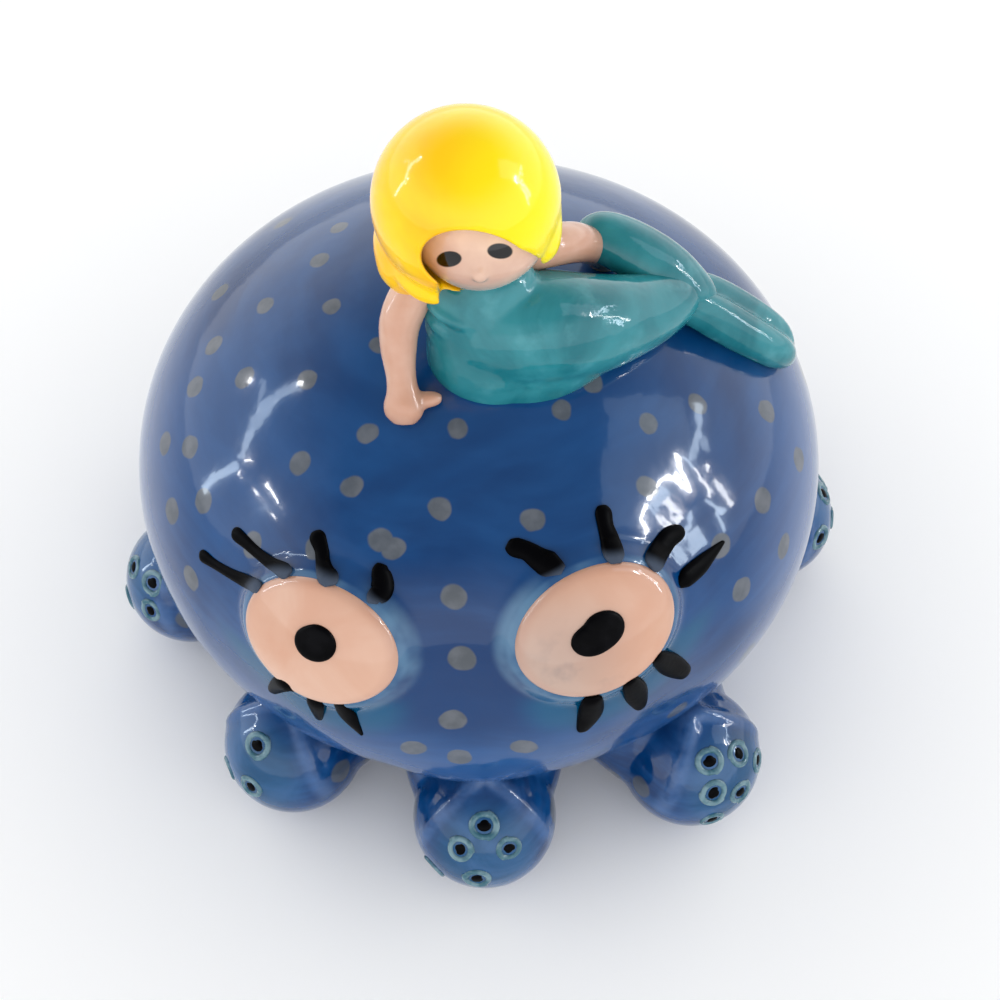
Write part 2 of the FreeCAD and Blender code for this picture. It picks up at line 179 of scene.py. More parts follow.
# suckers of each arm: degrees sideways and up, seen from the middle of its foot
UNSEEN_SUCKERS = ((0, 38), (-19, 14), (19, 14), (0, -12))
SUCKERS = (
    ((-2, 54), (-24, 31), (22, 32), (-7, 3), (-49, -17)),
    ((-23, 54), (18, 45), (35, 18), (-24, 27), (2, 14), (-24, -8)),
    ((-48, 15), (-8, 36), (-12, 4), (22, 18)),
    UNSEEN_SUCKERS,
    UNSEEN_SUCKERS,
    UNSEEN_SUCKERS,
    ((44, 42), (49.5, 15.4), (7, 34), (8, -8)),
    ((-4, 49), (3, 9), (-30, -4)),
)

# Lashes as seen in the photograph: across, down and half thickness in pixels, tip first
LASH_PIXELS = {
    "left": (
        ((204, 556, 5.5), (215, 564, 4.3), (230, 573, 4.6), (246, 581, 6.0), (258, 587, 6.5)),
        ((237, 534, 6.0), (247, 543, 5.2), (258, 553, 4.8), (272, 564, 5.6), (286, 572, 7.5)),
        ((318, 537, 7.2), (322, 549, 6.2), (323, 561, 6.2), (325, 571, 7.6), (329, 579, 9.0)),
        ((381, 571, 8.0), (383, 581, 9.6), (381, 592, 9.6), (374, 598, 7.0)),
        ((296, 686, 6.0), (284, 682, 8.6), (273, 689, 4.8)),
        ((313, 694, 5.5), (316, 703, 7.6), (319, 717, 3.6)),
        ((338, 702, 4.2), (347, 712, 7.8), (354, 723, 5.2), (361, 733, 2.0)),
    ),
    "right": (
        ((514, 547, 8.2), (527, 551, 8.2), (539, 559, 10.0), (549, 565, 11.5), (557, 568, 8.0)),
        ((603, 512, 7.4), (605, 525, 7.2), (609, 538, 8.4), (612, 549, 9.6), (614, 557, 8.8)),
        ((678, 532, 7.2), (668, 538, 9.0), (660, 549, 9.6), (653, 562, 10.0)),
        ((722, 543, 2.2), (712, 553, 5.2), (700, 565, 8.2), (686, 577, 8.6), (681, 582, 6.0)),
        ((657, 657, 6.5), (668, 663, 10.6), (683, 671, 7.6)),
        ((630, 681, 7.5), (635, 691, 11.0), (640, 704, 6.4)),
        ((592, 699, 9.0), (590, 711, 11.0), (583, 727, 6.0)),
    ),
}
LASH_WIDTH = 1.25
LASH_THICKNESS = 0.55
LASH_LIFT = 0.1
LASH_SIDES = 14
CAP_REACH = 0.72
CAP_SHARE = 0.55

# Brush dabs as seen in the photograph: across and down in pixels
DOT_PIXELS = (
    (338, 228), (283, 223), (320, 260), (332, 307), (266, 305), (220, 292), (214, 345), (379, 345),
    (245, 378), (306, 380), (195, 387), (190, 447), (165, 443), (367, 433), (457, 428), (301, 463),
    (352, 486), (204, 500), (172, 511), (440, 508), (533, 520), (380, 539), (393, 548), (253, 545),
    (316, 548), (191, 578), (453, 596), (462, 658), (452, 720), (413, 748), (459, 757), (524, 747),
    (562, 410), (593, 382), (648, 422), (697, 403), (767, 412), (799, 459), (763, 500), (784, 546),
    (720, 545), (742, 590), (748, 652), (678, 710), (647, 487),
)
DOT_RADIUS = 2.4
DOT_SPACING = 11.5
HIDDEN_DOTS = 90
GOLDEN_TURN = 137.508
DOTS_TOP_SHARE = 0.94
DOTS_SPAN_SHARE = 1.55
SEEN_FACING = 0.12
DOT_CLEARANCE = 4.0
WOBBLE = 1.6
WOBBLE_SCALE = 170

# Window light on the head: each streak from one pixel to another, the width in metres of the
# lamp that it mirrors, and its brightness
STREAKS = (
    (244, 458, 251, 460, 0.012, 102),
    (240, 456, 252, 427, 0.05, 13.6),
    (252, 427, 271, 399, 0.07, 10.2),
    (256, 415, 262, 380, 0.03, 6.8),
    (271, 399, 300, 385, 0.07, 10.2),
    (299, 382, 304, 383, 0.03, 57.8),
    (246, 382, 250, 382, 0.025, 51),
    (203, 490, 236, 465, 0.05, 15.3),
    (253, 493, 257, 494, 0.02, 57.8),
    (610, 440, 690, 440, 0.40, 1.7),
    (655, 487, 672, 477, 0.025, 102),
    (672, 477, 690, 492, 0.025, 102),
    (652, 497, 658, 511, 0.02, 23.8),
    (658, 511, 679, 522, 0.015, 51),
    (691, 462, 699, 404, 0.03, 17),
    (702, 434, 706, 450, 0.04, 10.2),
    (706, 467, 708, 471, 0.03, 57.8),
    (714, 480, 731, 505, 0.03, 30.6),
    (704, 498, 724, 513, 0.025, 23.8),
    (715, 511, 724, 533, 0.035, 20.4),
)
STREAK_FAR = 1100
SKY_COLOUR = (0.72, 0.86, 1.0)
GLARE_FROM = 28

# Room: brightness of the walls and of the ceiling, and the heights where it changes
FLOOR_SIZE = 6
FLOOR_COLOUR = (0.98, 0.975, 0.97, 1)
ROOM_COLOUR = (0.98, 0.99, 1.0, 1)
CEILING_LOW, CEILING_HIGH = 0.42, 0.84
WALL_LIGHT, CEILING_LIGHT = 2.0, 0.5

# Mermaid, about the head's axis: place, half width, half depth, and the way the section faces
TORSO = (
    ((1.1, -12.7, 111.8), 3.4, 3.4),
    ((1.1, -13.1, 108.4), 7.4, 5.6),
    ((1.4, -13.6, 105.6), 9.2, 7.0),
    ((1.6, -14.1, 102.4), 9.9, 8.0),
    ((2.6, -15.0, 96.9), 10.7, 9.3),
    ((3.6, -15.8, 91.0), 11.6, 10.3),
    ((3.8, -15.6, 87.0), 11.0, 9.8),
)
# fills the dress out between the hip and the seat
SEAT = (
    ((-2.0, -17.0, 89.0), 5.0, 5.0),
    ((4.0, -17.6, 88.6), 7.6, 7.6),
    ((12.0, -16.4, 90.2), 8.0, 8.0),
    ((20.0, -12.4, 91.4), 6.6, 6.6),
)
TAIL = (
    ((-3.6, -16.0, 94.8), 2.4, 2.4),
    ((-1.2, -16.0, 95.4), 7.6, 7.1),
    ((5.0, -16.0, 96.2), 9.5, 9.8),
    ((12.1, -15.0, 96.1), 9.8, 10.0),
    ((20.2, -11.7, 94.0), 8.7, 8.8),
    ((28.2, -6.0, 91.4), 6.9, 6.9),
    ((33.9, -0.8, 90.0), 5.4, 5.2),
    ((37.3, 2.1, 88.6), 3.4, 3.2),
)
# soft folds round the waist: height at the side and at the front, and radius
WAIST = (2.0, -14.4)
WAIST_HALF_WIDTH = 9.9
WAIST_HALF_DEPTH = 8.0
FOLD_START = -85
FOLD_SPAN = 75
FOLDS = ((104.2, 102.6, 1.0), (101.0, 99.0, 1.2), (97.6, 95.6, 1.0))
FLUKE_UPPER = (
    ((41.1, 1.1, 85.8), 1.2, 1.0),
    ((39.6, 1.6, 87.6), 3.8, 3.2),
    ((33.9, 2.5, 92.8), 5.4, 4.2),
    ((26.8, 4.0, 96.6), 5.7, 4.5),
    ((21.1, 4.9, 98.8), 4.9, 4.1),
    ((17.8, 5.4, 99.1), 3.0, 2.6),
    ((16.8, 5.4, 99.3), 1.2, 1.2),
)
FLUKE_LOWER = (
    ((33.5, 0.2, 89.7), 1.4, 1.4),
    ((35.4, 1.1, 88.9), 4.0, 3.3),
    ((40.1, 2.5, 85.9), 5.6, 4.0),
    ((46.8, 3.5, 80.6), 6.0, 4.0),
    ((53.4, 4.0, 75.3), 5.2, 3.6),
    ((56.3, 4.3, 72.2), 3.2, 2.5),
    ((57.5, 4.4, 70.8), 1.2, 1.1),
)
# lobes of the fluke, and how far the two ribs of each stand apart, as a share of its half width
FLUKES = (
    ("mermaid_fluke_upper", FLUKE_UPPER, 0.0),
    ("mermaid_fluke_lower", FLUKE_LOWER, 0.45),
)
RIB_NARROWING = 0.9
NEAR_ARM = (
    ((-8.0, -13.4, 107.2), 2.4, 2.4),
    ((-8.8, -14.6, 105.3), 3.5, 3.5),
    ((-10.9, -17.3, 102.2), 3.7, 3.7),
    ((-11.9, -19.4, 99.4), 3.5, 3.5),
    ((-11.9, -21.8, 96.0), 3.1, 3.1),
    ((-11.4, -24.2, 92.6), 2.6, 2.6),
    ((-11.0, -25.9, 90.4), 2.8, 2.7),
    ((-10.8, -27.3, 88.6), 3.5, 3.0),
    ((-10.6, -28.5, 87.2), 3.3, 2.6),
    ((-10.5, -29.6, 86.0), 1.7, 1.4),
)
NEAR_THUMB = (
    ((-9.8, -26.7, 88.4), 1.9, 1.9),
    ((-7.4, -26.3, 88.8), 1.6, 1.5),
    ((-5.4, -26.0, 89.0), 1.3, 1.2),
    ((-4.4, -25.9, 89.0), 0.7, 0.7),
)
FAR_ARM = (
    ((7.4, -9.6, 107.4), 2.4, 2.4),
    ((9.4, -7.8, 107.0), 3.5, 3.5),
    ((13.2, -4.8, 105.6), 3.7, 3.7),
    ((16.4, -1.4, 103.0), 3.6, 3.6),
    ((19.2, 3.0, 98.0), 3.2, 3.2),
    ((21.1, 6.8, 92.6), 2.8, 2.8),
    ((21.7, 8.4, 90.4), 3.2, 3.0),
    ((22.1, 9.8, 88.8), 3.4, 3.0),
    ((22.3, 10.9, 87.4), 2.0, 1.8),
)
FINE_GRAIN = 0.4
HAIR_GRAIN = 0.42
HAIR_CENTRE = Vector((-1.2, -12.7, 122.1))
HAIR_RADIUS = 15.3
FACE_CENTRE = Vector((1.1, -14.1, 118.5))
FACE_RADIUS = 11.4
FACE_CLEARANCE = 0.05
CHIN_DRAW = 0.3
CHIN_CURVE = 1.3
NOSE_PIXEL = (480, 272)
NOSE_HALVES = (1.5, 1.6, 1.7)
NOSE_SINK = 0.8
# black dabs for her eyes: middles in pixels, half width and half height in mm
EYE_DABS = ((449, 259), (500, 251))
EYE_DAB_WIDTH = 2.0
EYE_DAB_HEIGHT = 1.15
# cuts that free the face: middle in pixels, half width and half height in mm, tilt
FACE_OPENINGS = (
    (478, 265, 9.0, 5.0, 0.22),
    (490, 297, 8.2, 8.0, 0.0),
    (516, 286, 5.2, 5.6, 0.0),
)
OPENING_REACH = (-3, 6, 16, 28)
LEFT_LOCK = (
    ((-10.0, -11.0, 119.0), 4.6, 5.2),
    ((-10.3, -13.0, 114.4), 6.0, 6.2),
    ((-10.3, -14.2, 110.6), 5.8, 5.8),
    ((-10.3, -15.0, 107.4), 5.0, 4.8),
    ((-10.3, -15.6, 104.2), 2.4, 2.4),
)
LEFT_FLICK = (
    ((-10.0, -17.6, 112.0), 3.4, 3.0),
    ((-7.6, -20.2, 110.6), 3.0, 2.8),
    ((-5.0, -22.2, 110.2), 2.0, 2.0),
    ((-3.6, -23.0, 110.3), 0.8, 0.8),
)
RIGHT_LOCK = (
    ((9.4, -12.6, 122.0), 4.6, 5.0),
    ((9.9, -14.6, 118.6), 4.6, 4.8),
    ((10.6, -15.6, 115.8), 3.8, 4.0),
    ((10.9, -16.1, 113.9), 2.4, 2.6),
    ((11.0, -16.3, 112.9), 1.0, 1.0),
)


def rows(points):
    """One row of three numbers for each point."""
    return np.array([tuple(point) for point in points], dtype=float)


def out_direction(azimuth):
    """Level direction away from the axis at an azimuth, counted from the face to the right."""
    turn = math.radians(azimuth)
    return Vector((math.sin(turn), -math.cos(turn), 0))


def oval_gap(places):
    """How far each place stands off the plain oval head."""
    radius = np.hypot(places[:, 0], places[:, 1])
    lift = np.abs(places[:, 2] - GIRTH_HEIGHT)
    inset = HEAD_RADIUS - GIRTH_ROUND
    drop = CROWN_ROUND - HEAD_RISE
    crown = np.hypot(radius, lift + drop) - CROWN_ROUND
    girth = np.hypot(radius - inset, lift) - GIRTH_ROUND
    return np.where((lift + drop) * inset > drop * radius, crown, girth)


def oval_point(azimuth, height):
    """Point on the girth of the plain head, with its outward normal."""
    outward = out_direction(azimuth)
    centre = outward * (HEAD_RADIUS - GIRTH_ROUND) + UP * GIRTH_HEIGHT
    lift_share = (height - GIRTH_HEIGHT) / GIRTH_ROUND
    normal = outward * math.sqrt(1 - lift_share**2) + UP * lift_share
    return centre + normal * GIRTH_ROUND, normal


def eye_frame(side):
    """Middle of an eye on the plain head, and its across, up and outward directions."""
    azimuth, height, tilt, _, _ = EYES[side]
    point, normal = oval_point(azimuth, height)
    level = UP.cross(normal).normalized()
    rise = normal.cross(level)
    turn = math.radians(tilt)
    across = level * math.cos(turn) + rise * math.sin(turn)
    return point, across, normal.cross(across), normal


def soft_least(first, second, blend):
    """The lesser of two gaps, rounded where they meet."""
    share = np.clip(0.5 + 0.5 * (second - first) / blend, 0, 1)
    return second * (1 - share) + first * share - blend * share * (1 - share)


def bare_gap(places):
    """How far each place stands off the head with its eye mounds and hand marks, but no lids."""
    gap = oval_gap(places)
    for side in EYES:
        point, _, _, normal = eye_frame(side)
        middle = np.array(point - normal * (MOUND_RADIUS - MOUND_RISE))
        mound = np.linalg.norm(places - middle, axis=1) - MOUND_RADIUS
        gap = soft_least(gap, mound, BLEND)
    for azimuth, height, depth, spread in HAND_MARKS:
        middle = np.array(oval_point(azimuth, height)[0])
        away = np.linalg.norm(places - middle, axis=1)
        gap = gap + depth * np.exp(-((away / spread) ** 2))
    return gap


def lid_height(places):
    """Height of the lids' soft rims above the bare head at each place."""
    height = np.zeros(len(places))
    for side in EYES:
        point, across, rise, normal = eye_frame(side)
        half_width, half_height = EYES[side][3:]
        offset = places - np.array(point)
        x = offset @ np.array(across)
        y = offset @ np.array(rise)
        facing = offset @ np.array(normal)
        turn = np.arctan2(y / half_height, x / half_width)
        edge = np.hypot(half_width * np.cos(turn), half_height * np.sin(turn))
        beyond = (np.hypot(x, y) - edge) / LID_WIDTH
        slope = np.clip(1 - beyond, 0, 1)
        rim = LID_RISE * slope * slope * (3 - 2 * slope)
        height = np.maximum(height, np.where(facing > -MOUND_RADIUS / 2, rim, 0))
    return height


def head_gap(places):
    """How far each place stands off the finished head."""
    return bare_gap(places) - lid_height(places)


def camera_place():
    """The camera's place and its right, up and back directions."""
    azimuth = math.radians(CAMERA_AZIMUTH)
    height = math.radians(CAMERA_HEIGHT)
    back = Vector((
        math.sin(azimuth) * math.cos(height),
        -math.cos(azimuth) * math.cos(height),
        math.sin(height),
    ))
    right = Vector((math.cos(azimuth), math.sin(azimuth), 0))
    return CAMERA_AIM + back * CAMERA_DISTANCE, right, back.cross(right), back


def sight(across, down):
    """Start and direction of the line of sight through a pixel of the photograph."""
    eye, right, up, back = camera_place()
    tilt = right * ((across - PHOTO_CENTRE[0]) / PHOTO_FOCAL)
    tilt = tilt - up * ((down - PHOTO_CENTRE[1]) / PHOTO_FOCAL)
    return eye, (tilt - back).normalized()


def land(start, direction, gap, steps=60):
    """Where a line first meets the surface that a gap function describes."""
    place = Vector(start)
    for _ in range(steps):
        place = place + direction * float(gap(rows([place]))[0])
    return place


def seen_point(across, down):
    """Point of the bare head behind a pixel of the photograph."""
    start, direction = sight(across, down)
    return land(start, direction, bare_gap)


def beside_sight(across, down, centre):
    """The place nearest to a centre on the line of sight through a pixel, and that line."""
    start, direction = sight(across, down)
    return start + direction * (centre - start).dot(direction), direction


def ball_gap(centre, radius):
    """A gap function for a ball."""
    return lambda places: np.linalg.norm(places - np.array(centre), axis=1) - radius


def outward_at(place, gap=bare_gap):
    """Outward normal of a surface near a place."""
    step = 0.05
    around = []
    for axis in (Vector((1, 0, 0)), Vector((0, 1, 0)), UP):
        around += [place + axis * step, place - axis * step]
    gaps = gap(rows(around))
    return Vector((gaps[0] - gaps[1], gaps[2] - gaps[3], gaps[4] - gaps[5])).normalized()


def standing(place, axes):
    """A placement in metres, from a place in the figurine and the ways that its axes point."""
    return Matrix.Translation((place + AXIS) * MM) @ Matrix(axes).transposed().to_4x4()


def start_object(name):
    """An empty mesh object, selected and in edit mode."""
    bpy.ops.object.select_all(action="DESELECT")
    thing = bpy.data.objects.new(name, bpy.data.meshes.new(name))
    bpy.context.collection.objects.link(thing)
    bpy.context.view_layer.objects.active = thing
    thing.select_set(True)
    bpy.ops.object.mode_set(mode="EDIT")
    bpy.ops.mesh.select_mode(type="VERT")
    return thing


def select_vertices(thing, test):
    """Selects the vertices whose number passes a test, and what lies between them."""
    grid = bmesh.from_edit_mesh(thing.data)
    grid.verts.index_update()
    for vertex in grid.verts:
        vertex.select = test(vertex)
    grid.select_flush_mode()
    bmesh.update_edit_mesh(thing.data)


def select_faces(thing, test):
    """Selects the faces that pass a test, and no others."""
    bpy.ops.mesh.select_all(action="DESELECT")
    grid = bmesh.from_edit_mesh(thing.data)
    for face in grid.faces:
        if test(face):
            face.select = True
    bmesh.update_edit_mesh(thing.data)


def add_ring(middle, side, depth, half_width, half_depth, count):
    """One oval ring of vertices about a middle, in place."""
    turn = Matrix((side, depth, side.cross(depth))).transposed()
    place = (middle + AXIS) * MM
    bpy.ops.mesh.primitive_circle_add(
        vertices=count, radius=half_width * MM, location=place, rotation=turn.to_euler()
    )
    bpy.ops.transform.resize(
        value=(1, half_depth / half_width, 1), orient_type="GLOBAL", orient_matrix=turn,
        orient_matrix_type="GLOBAL", center_override=place,
    )


def bridge_rings(thing, rings, count):
    """Faces between each ring and the next, and a face over each end."""
    for index in range(rings - 1):
        low = index * count
        select_vertices(thing, lambda vertex: low <= vertex.index < low + 2 * count)
        bpy.ops.mesh.bridge_edge_loops()
    for index in (0, rings - 1):
        low = index * count
        select_vertices(thing, lambda vertex: low <= vertex.index < low + count)
        bpy.ops.mesh.edge_face_add()
        bpy.ops.mesh.poke()


def eased(stations, steps=4):
    """The stations with more between them, on a smooth curve."""
    given = np.array([(*place, half_width, half_depth) for place, half_width, half_depth in stations])
    last = len(given) - 1
    finer = []
    for index in range(last):
        before, here = given[max(index - 1, 0)], given[index]
        there, after = given[index + 1], given[min(index + 2, last)]
        for step in range(steps):
            t = step / steps
            slope = (there - before) * t + (2 * before - 5 * here + 4 * there - after) * t**2
            finer.append(here + (slope + (3 * here - before - 3 * there + after) * t**3) / 2)
    finer.append(given[last])
    return [(Vector(row[:3]), max(row[3], 0.3), max(row[4], 0.3)) for row in finer]


def limb(stations, count=20, guide=None):
    """A closed round form through stations: place, half width and half depth."""
    thing = start_object("limb")
    stations = eased(stations)
    places = [Vector(station[0]) for station in stations]
    for index, (_, half_width, half_depth) in enumerate(stations):
        before = places[max(index - 1, 0)]
        after = places[min(index + 1, len(places) - 1)]
        along = (after - before).normalized()
        level = guide or (Vector((0, 1, 0)) if abs(along.z) > 0.7 else UP)
        side = along.cross(level).normalized()
        bpy.ops.mesh.select_all(action="DESELECT")
        add_ring(places[index], side, along.cross(side), half_width, half_depth, count)
    bridge_rings(thing, len(stations), count)
    leave_edit()
    return thing


def ball(centre, half_sizes, segments=48):
    """A ball, squashed or stretched, at a place."""
    thing = start_object("ball")
    bpy.ops.mesh.primitive_uv_sphere_add(
        segments=segments, ring_count=segments // 2, radius=MM,
        location=(Vector(centre) + AXIS) * MM, scale=half_sizes,
    )
    leave_edit()
    return thing


def join(name, parts):
    """Joins forms into one object with a name."""
    bpy.ops.object.select_all(action="DESELECT")
    for part in parts:
        part.select_set(True)
    bpy.context.view_layer.objects.active = parts[0]
    if len(parts) > 1:
        bpy.ops.object.join()
    parts[0].name = name
    parts[0].data.name = name
    return parts[0]


def face_outwards():
    """Closes doubled points and turns every face outwards."""
    bpy.ops.mesh.select_all(action="SELECT")
    bpy.ops.mesh.remove_doubles(threshold=0.01 * MM)
    bpy.ops.mesh.normals_make_consistent(inside=False)


def leave_edit():
    """Back to object mode with faces turned outwards."""
    face_outwards()
    bpy.ops.object.mode_set(mode="OBJECT")


def apply_modifier(thing, kind, **settings):
    """Adds one modifier with its settings and applies it."""
    bpy.ops.object.select_all(action="DESELECT")
    bpy.context.view_layer.objects.active = thing
    thing.select_set(True)
    modifier = thing.modifiers.new(kind.title(), kind)
    for key, value in settings.items():
        setattr(modifier, key, value)
    bpy.ops.object.modifier_apply(modifier=modifier.name)


def model_clay(thing, grain, smoothing):
    """Runs the joined forms of a piece into one skin, as clay is blended with a wet finger."""
    apply_modifier(thing, "REMESH", mode="VOXEL", voxel_size=grain * MM)
    apply_modifier(thing, "SMOOTH", factor=0.5, iterations=smoothing)
    bpy.ops.object.shade_smooth()


def cut_level(thing, height):
    """Cuts a piece off flat at a height and closes the cut."""
    bpy.context.view_layer.objects.active = thing
    bpy.ops.object.mode_set(mode="EDIT")
    bpy.ops.mesh.select_all(action="SELECT")
    bpy.ops.mesh.bisect(
        plane_co=(0, 0, height * MM), plane_no=(0, 0, 1), use_fill=True, clear_inner=True,
        threshold=0.0000001,
    )
    bpy.ops.object.mode_set(mode="OBJECT")


def take_away(thing, tool):
    """Cuts a tool's shape out of a piece and deletes the tool."""
    apply_modifier(thing, "BOOLEAN", operation="DIFFERENCE", solver="EXACT", object=tool)
    bpy.data.objects.remove(tool, do_unlink=True)


def points_of(thing):
    """All vertices of a piece, in millimetres from the axis."""
    flat = np.empty(len(thing.data.vertices) * 3)
    thing.data.vertices.foreach_get("co", flat)
    return flat.reshape(-1, 3) / MM - np.array(AXIS)


def move_points(thing, change):
    """Passes all vertices, in millimetres from the axis, through a change and puts them back."""
    places = (change(points_of(thing)) + np.array(AXIS)) * MM
    thing.data.vertices.foreach_set("co", places.reshape(-1))
    thing.data.update()


def mark_near(thing, name, places, width):
    """Writes an attribute that is 1 at some places and falls to 0 at a width from them."""
    points = points_of(thing)
    least = np.min([np.linalg.norm(points - np.array(place), axis=1) for place in places], axis=0)
    mark = thing.data.attributes.new(name, "FLOAT", "POINT")
    mark.data.foreach_set("value", np.clip(1 - least / width, 0, 1))


def finish_piece(thing, node, finish):
    """Gives a piece its glaze and puts it in the place of its solid."""
    thing.data.materials.clear()
    thing.data.materials.append(finish)
    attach(thing, "root")
    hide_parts(node)
    bpy.ops.object.select_all(action="DESELECT")


class Glaze:
    """Node tree of one glaze, with short ways to add and join nodes."""

    def __init__(self, name, roughness=0.12, coat=0.5):
        self.material = bpy.data.materials.new(name)
        self.material.use_nodes = True
        self.tree = self.material.node_tree
        self.shader = self.tree.nodes["Principled BSDF"]
        self.shader.inputs["Roughness"].default_value = roughness
        self.shader.inputs["Coat Weight"].default_value = coat
        self.shader.inputs["Coat Roughness"].default_value = 0.04
        self.shader.inputs["Specular IOR Level"].default_value = 0.2
        self.places = self.node("ShaderNodeTexCoord").outputs["Object"]

    def node(self, kind, **settings):
        """A node with its settings."""
        made = self.tree.nodes.new(kind)
        for key, value in settings.items():
            setattr(made, key, value)
        return made

    def put(self, socket, value):
        """Joins an output to a socket, or sets the socket to a value."""
        if isinstance(value, bpy.types.NodeSocket):
            self.tree.links.new(value, socket)
        else:
            socket.default_value = value

    def maths(self, operation, first, second=0.0, third=0.0):
        """A Math node's output."""
        made = self.node("ShaderNodeMath", operation=operation)
        for socket, value in zip(made.inputs, (first, second, third)):
            self.put(socket, value)
        return made.outputs[0]

    def vector(self, operation, first, second=None, output=0):
        """A Vector Math node's output."""
        made = self.node("ShaderNodeVectorMath", operation=operation)
        self.put(made.inputs[0], first)
        if second is not None:
            self.put(made.inputs[1], second)
        return made.outputs[output]

    def noise(self, scale, detail=3.0, stretch=(1, 1, 1), distortion=0.0):
        """Noise over the piece, scale in patches a metre."""
        mapping = self.node("ShaderNodeMapping")
        self.put(mapping.inputs["Vector"], self.places)
        mapping.inputs["Scale"].default_value = stretch
        made = self.node("ShaderNodeTexNoise")
        self.put(made.inputs["Vector"], mapping.outputs[0])
        made.inputs["Scale"].default_value = scale
        made.inputs["Detail"].default_value = detail
        made.inputs["Distortion"].default_value = distortion
        return made.outputs["Fac"]

    def between(self, value, low, high):
        """0 up to low, 1 from high on, smooth in between."""
        made = self.node("ShaderNodeMapRange", interpolation_type="SMOOTHSTEP")
        for socket, number in zip(made.inputs, (value, low, high, 0.0, 1.0)):
            self.put(socket, number)
        return made.outputs[0]

    def mix(self, share, first, second):
        """One colour over another by a share."""
        made = self.node("ShaderNodeMix", data_type="RGBA")
        self.put(made.inputs["Factor"], share)
        for socket, colour in zip((made.inputs[6], made.inputs[7]), (first, second)):
            if isinstance(colour, bpy.types.NodeSocket):
                self.put(socket, colour)
            else:
                socket.default_value = (*colour, 1)
        return made.outputs[2]

    def away(self, place):
        """Distance in metres from a place."""
        return self.vector("DISTANCE", self.places, tuple((place + AXIS) * MM), output=1)

    def nearest(self, places):
        """Distance to the nearest of some places, with wavy edges."""
        jitter = self.node("ShaderNodeTexNoise")
        self.put(jitter.inputs["Vector"], self.places)
        jitter.inputs["Scale"].default_value = WOBBLE_SCALE
        shift = self.vector("SUBTRACT", jitter.outputs["Color"], (0.5, 0.5, 0.5))
        scaled = self.node("ShaderNodeVectorMath", operation="SCALE")
        self.put(scaled.inputs[0], shift)
        scaled.inputs["Scale"].default_value = WOBBLE * MM
        moved = self.vector("ADD", self.places, scaled.outputs[0])
        least = None
        for place in places:
            gap = self.vector("DISTANCE", moved, tuple((place + AXIS) * MM), output=1)
            least = gap if least is None else self.maths("MINIMUM", least, gap)
        return least

    def mark(self, name):
        """An attribute of the piece."""
        return self.node("ShaderNodeAttribute", attribute_name=name).outputs["Fac"]

    def eye_shares(self, side):
        """Across and up from an eye's middle in shares of its half sizes, and their distance."""
        point, across, rise, _ = eye_frame(side)
        half_width, half_height = EYES[side][3:]
        offset = self.vector("SUBTRACT", self.places, tuple((point + AXIS) * MM))
        x = self.vector("DOT_PRODUCT", offset, tuple(across / (half_width * MM)), output=1)
        y = self.vector("DOT_PRODUCT", offset, tuple(rise / (half_height * MM)), output=1)
        squares = self.maths("ADD", self.maths("MULTIPLY", x, x), self.maths("MULTIPLY", y, y))
        return x, y, self.maths("SQRT", squares)

    def wash(self, base, colour, strength, *shares):
        """Lays a colour over another where all shares are high."""
        cover = shares[0]
        for share in shares[1:]:
            cover = self.maths("MULTIPLY", cover, share)
        return self.mix(self.maths("MULTIPLY", cover, strength), base, colour)

    def colour(self, value):
        """Sets the glaze's colour."""
        self.put(self.shader.inputs["Base Color"], value)

    def ripple(self, scale, height, detail=4.0):
        """Slight unevenness of the fired surface."""
        bump = self.node("ShaderNodeBump")
        bump.inputs["Strength"].default_value = 0.5
        bump.inputs["Distance"].default_value = height * MM
        self.put(bump.inputs["Height"], self.noise(scale, detail))
        self.put(self.shader.inputs["Normal"], bump.outputs[0])
        self.put(self.shader.inputs["Coat Normal"], bump.outputs[0])


def hidden_dots(seen):
    """Dab places where the photograph doesn't reach, spaced like those that it shows."""
    camera = camera_place()[0]
    centre = Vector((0, 0, GIRTH_HEIGHT))
    places = list(seen)
    for index in range(HIDDEN_DOTS):
        lift = DOTS_TOP_SHARE - DOTS_SPAN_SHARE * (index + 0.5) / HIDDEN_DOTS
        azimuth = math.radians(GOLDEN_TURN * index)
        level = math.sqrt(1 - lift**2)
        outward = Vector((level * math.sin(azimuth), -level * math.cos(azimuth), lift))
        place = land(centre + outward * CAMERA_DISTANCE / 3, -outward, oval_gap)
        facing = outward_at(place, oval_gap).dot((camera - place).normalized())
        near_seen = facing > SEEN_FACING
        crowded = min((place - other).length for other in places) < DOT_SPACING
        if not near_seen and not crowded and place.z > HEAD_FLOOR + DOT_CLEARANCE:
            places.append(place)
    return places[len(seen):]


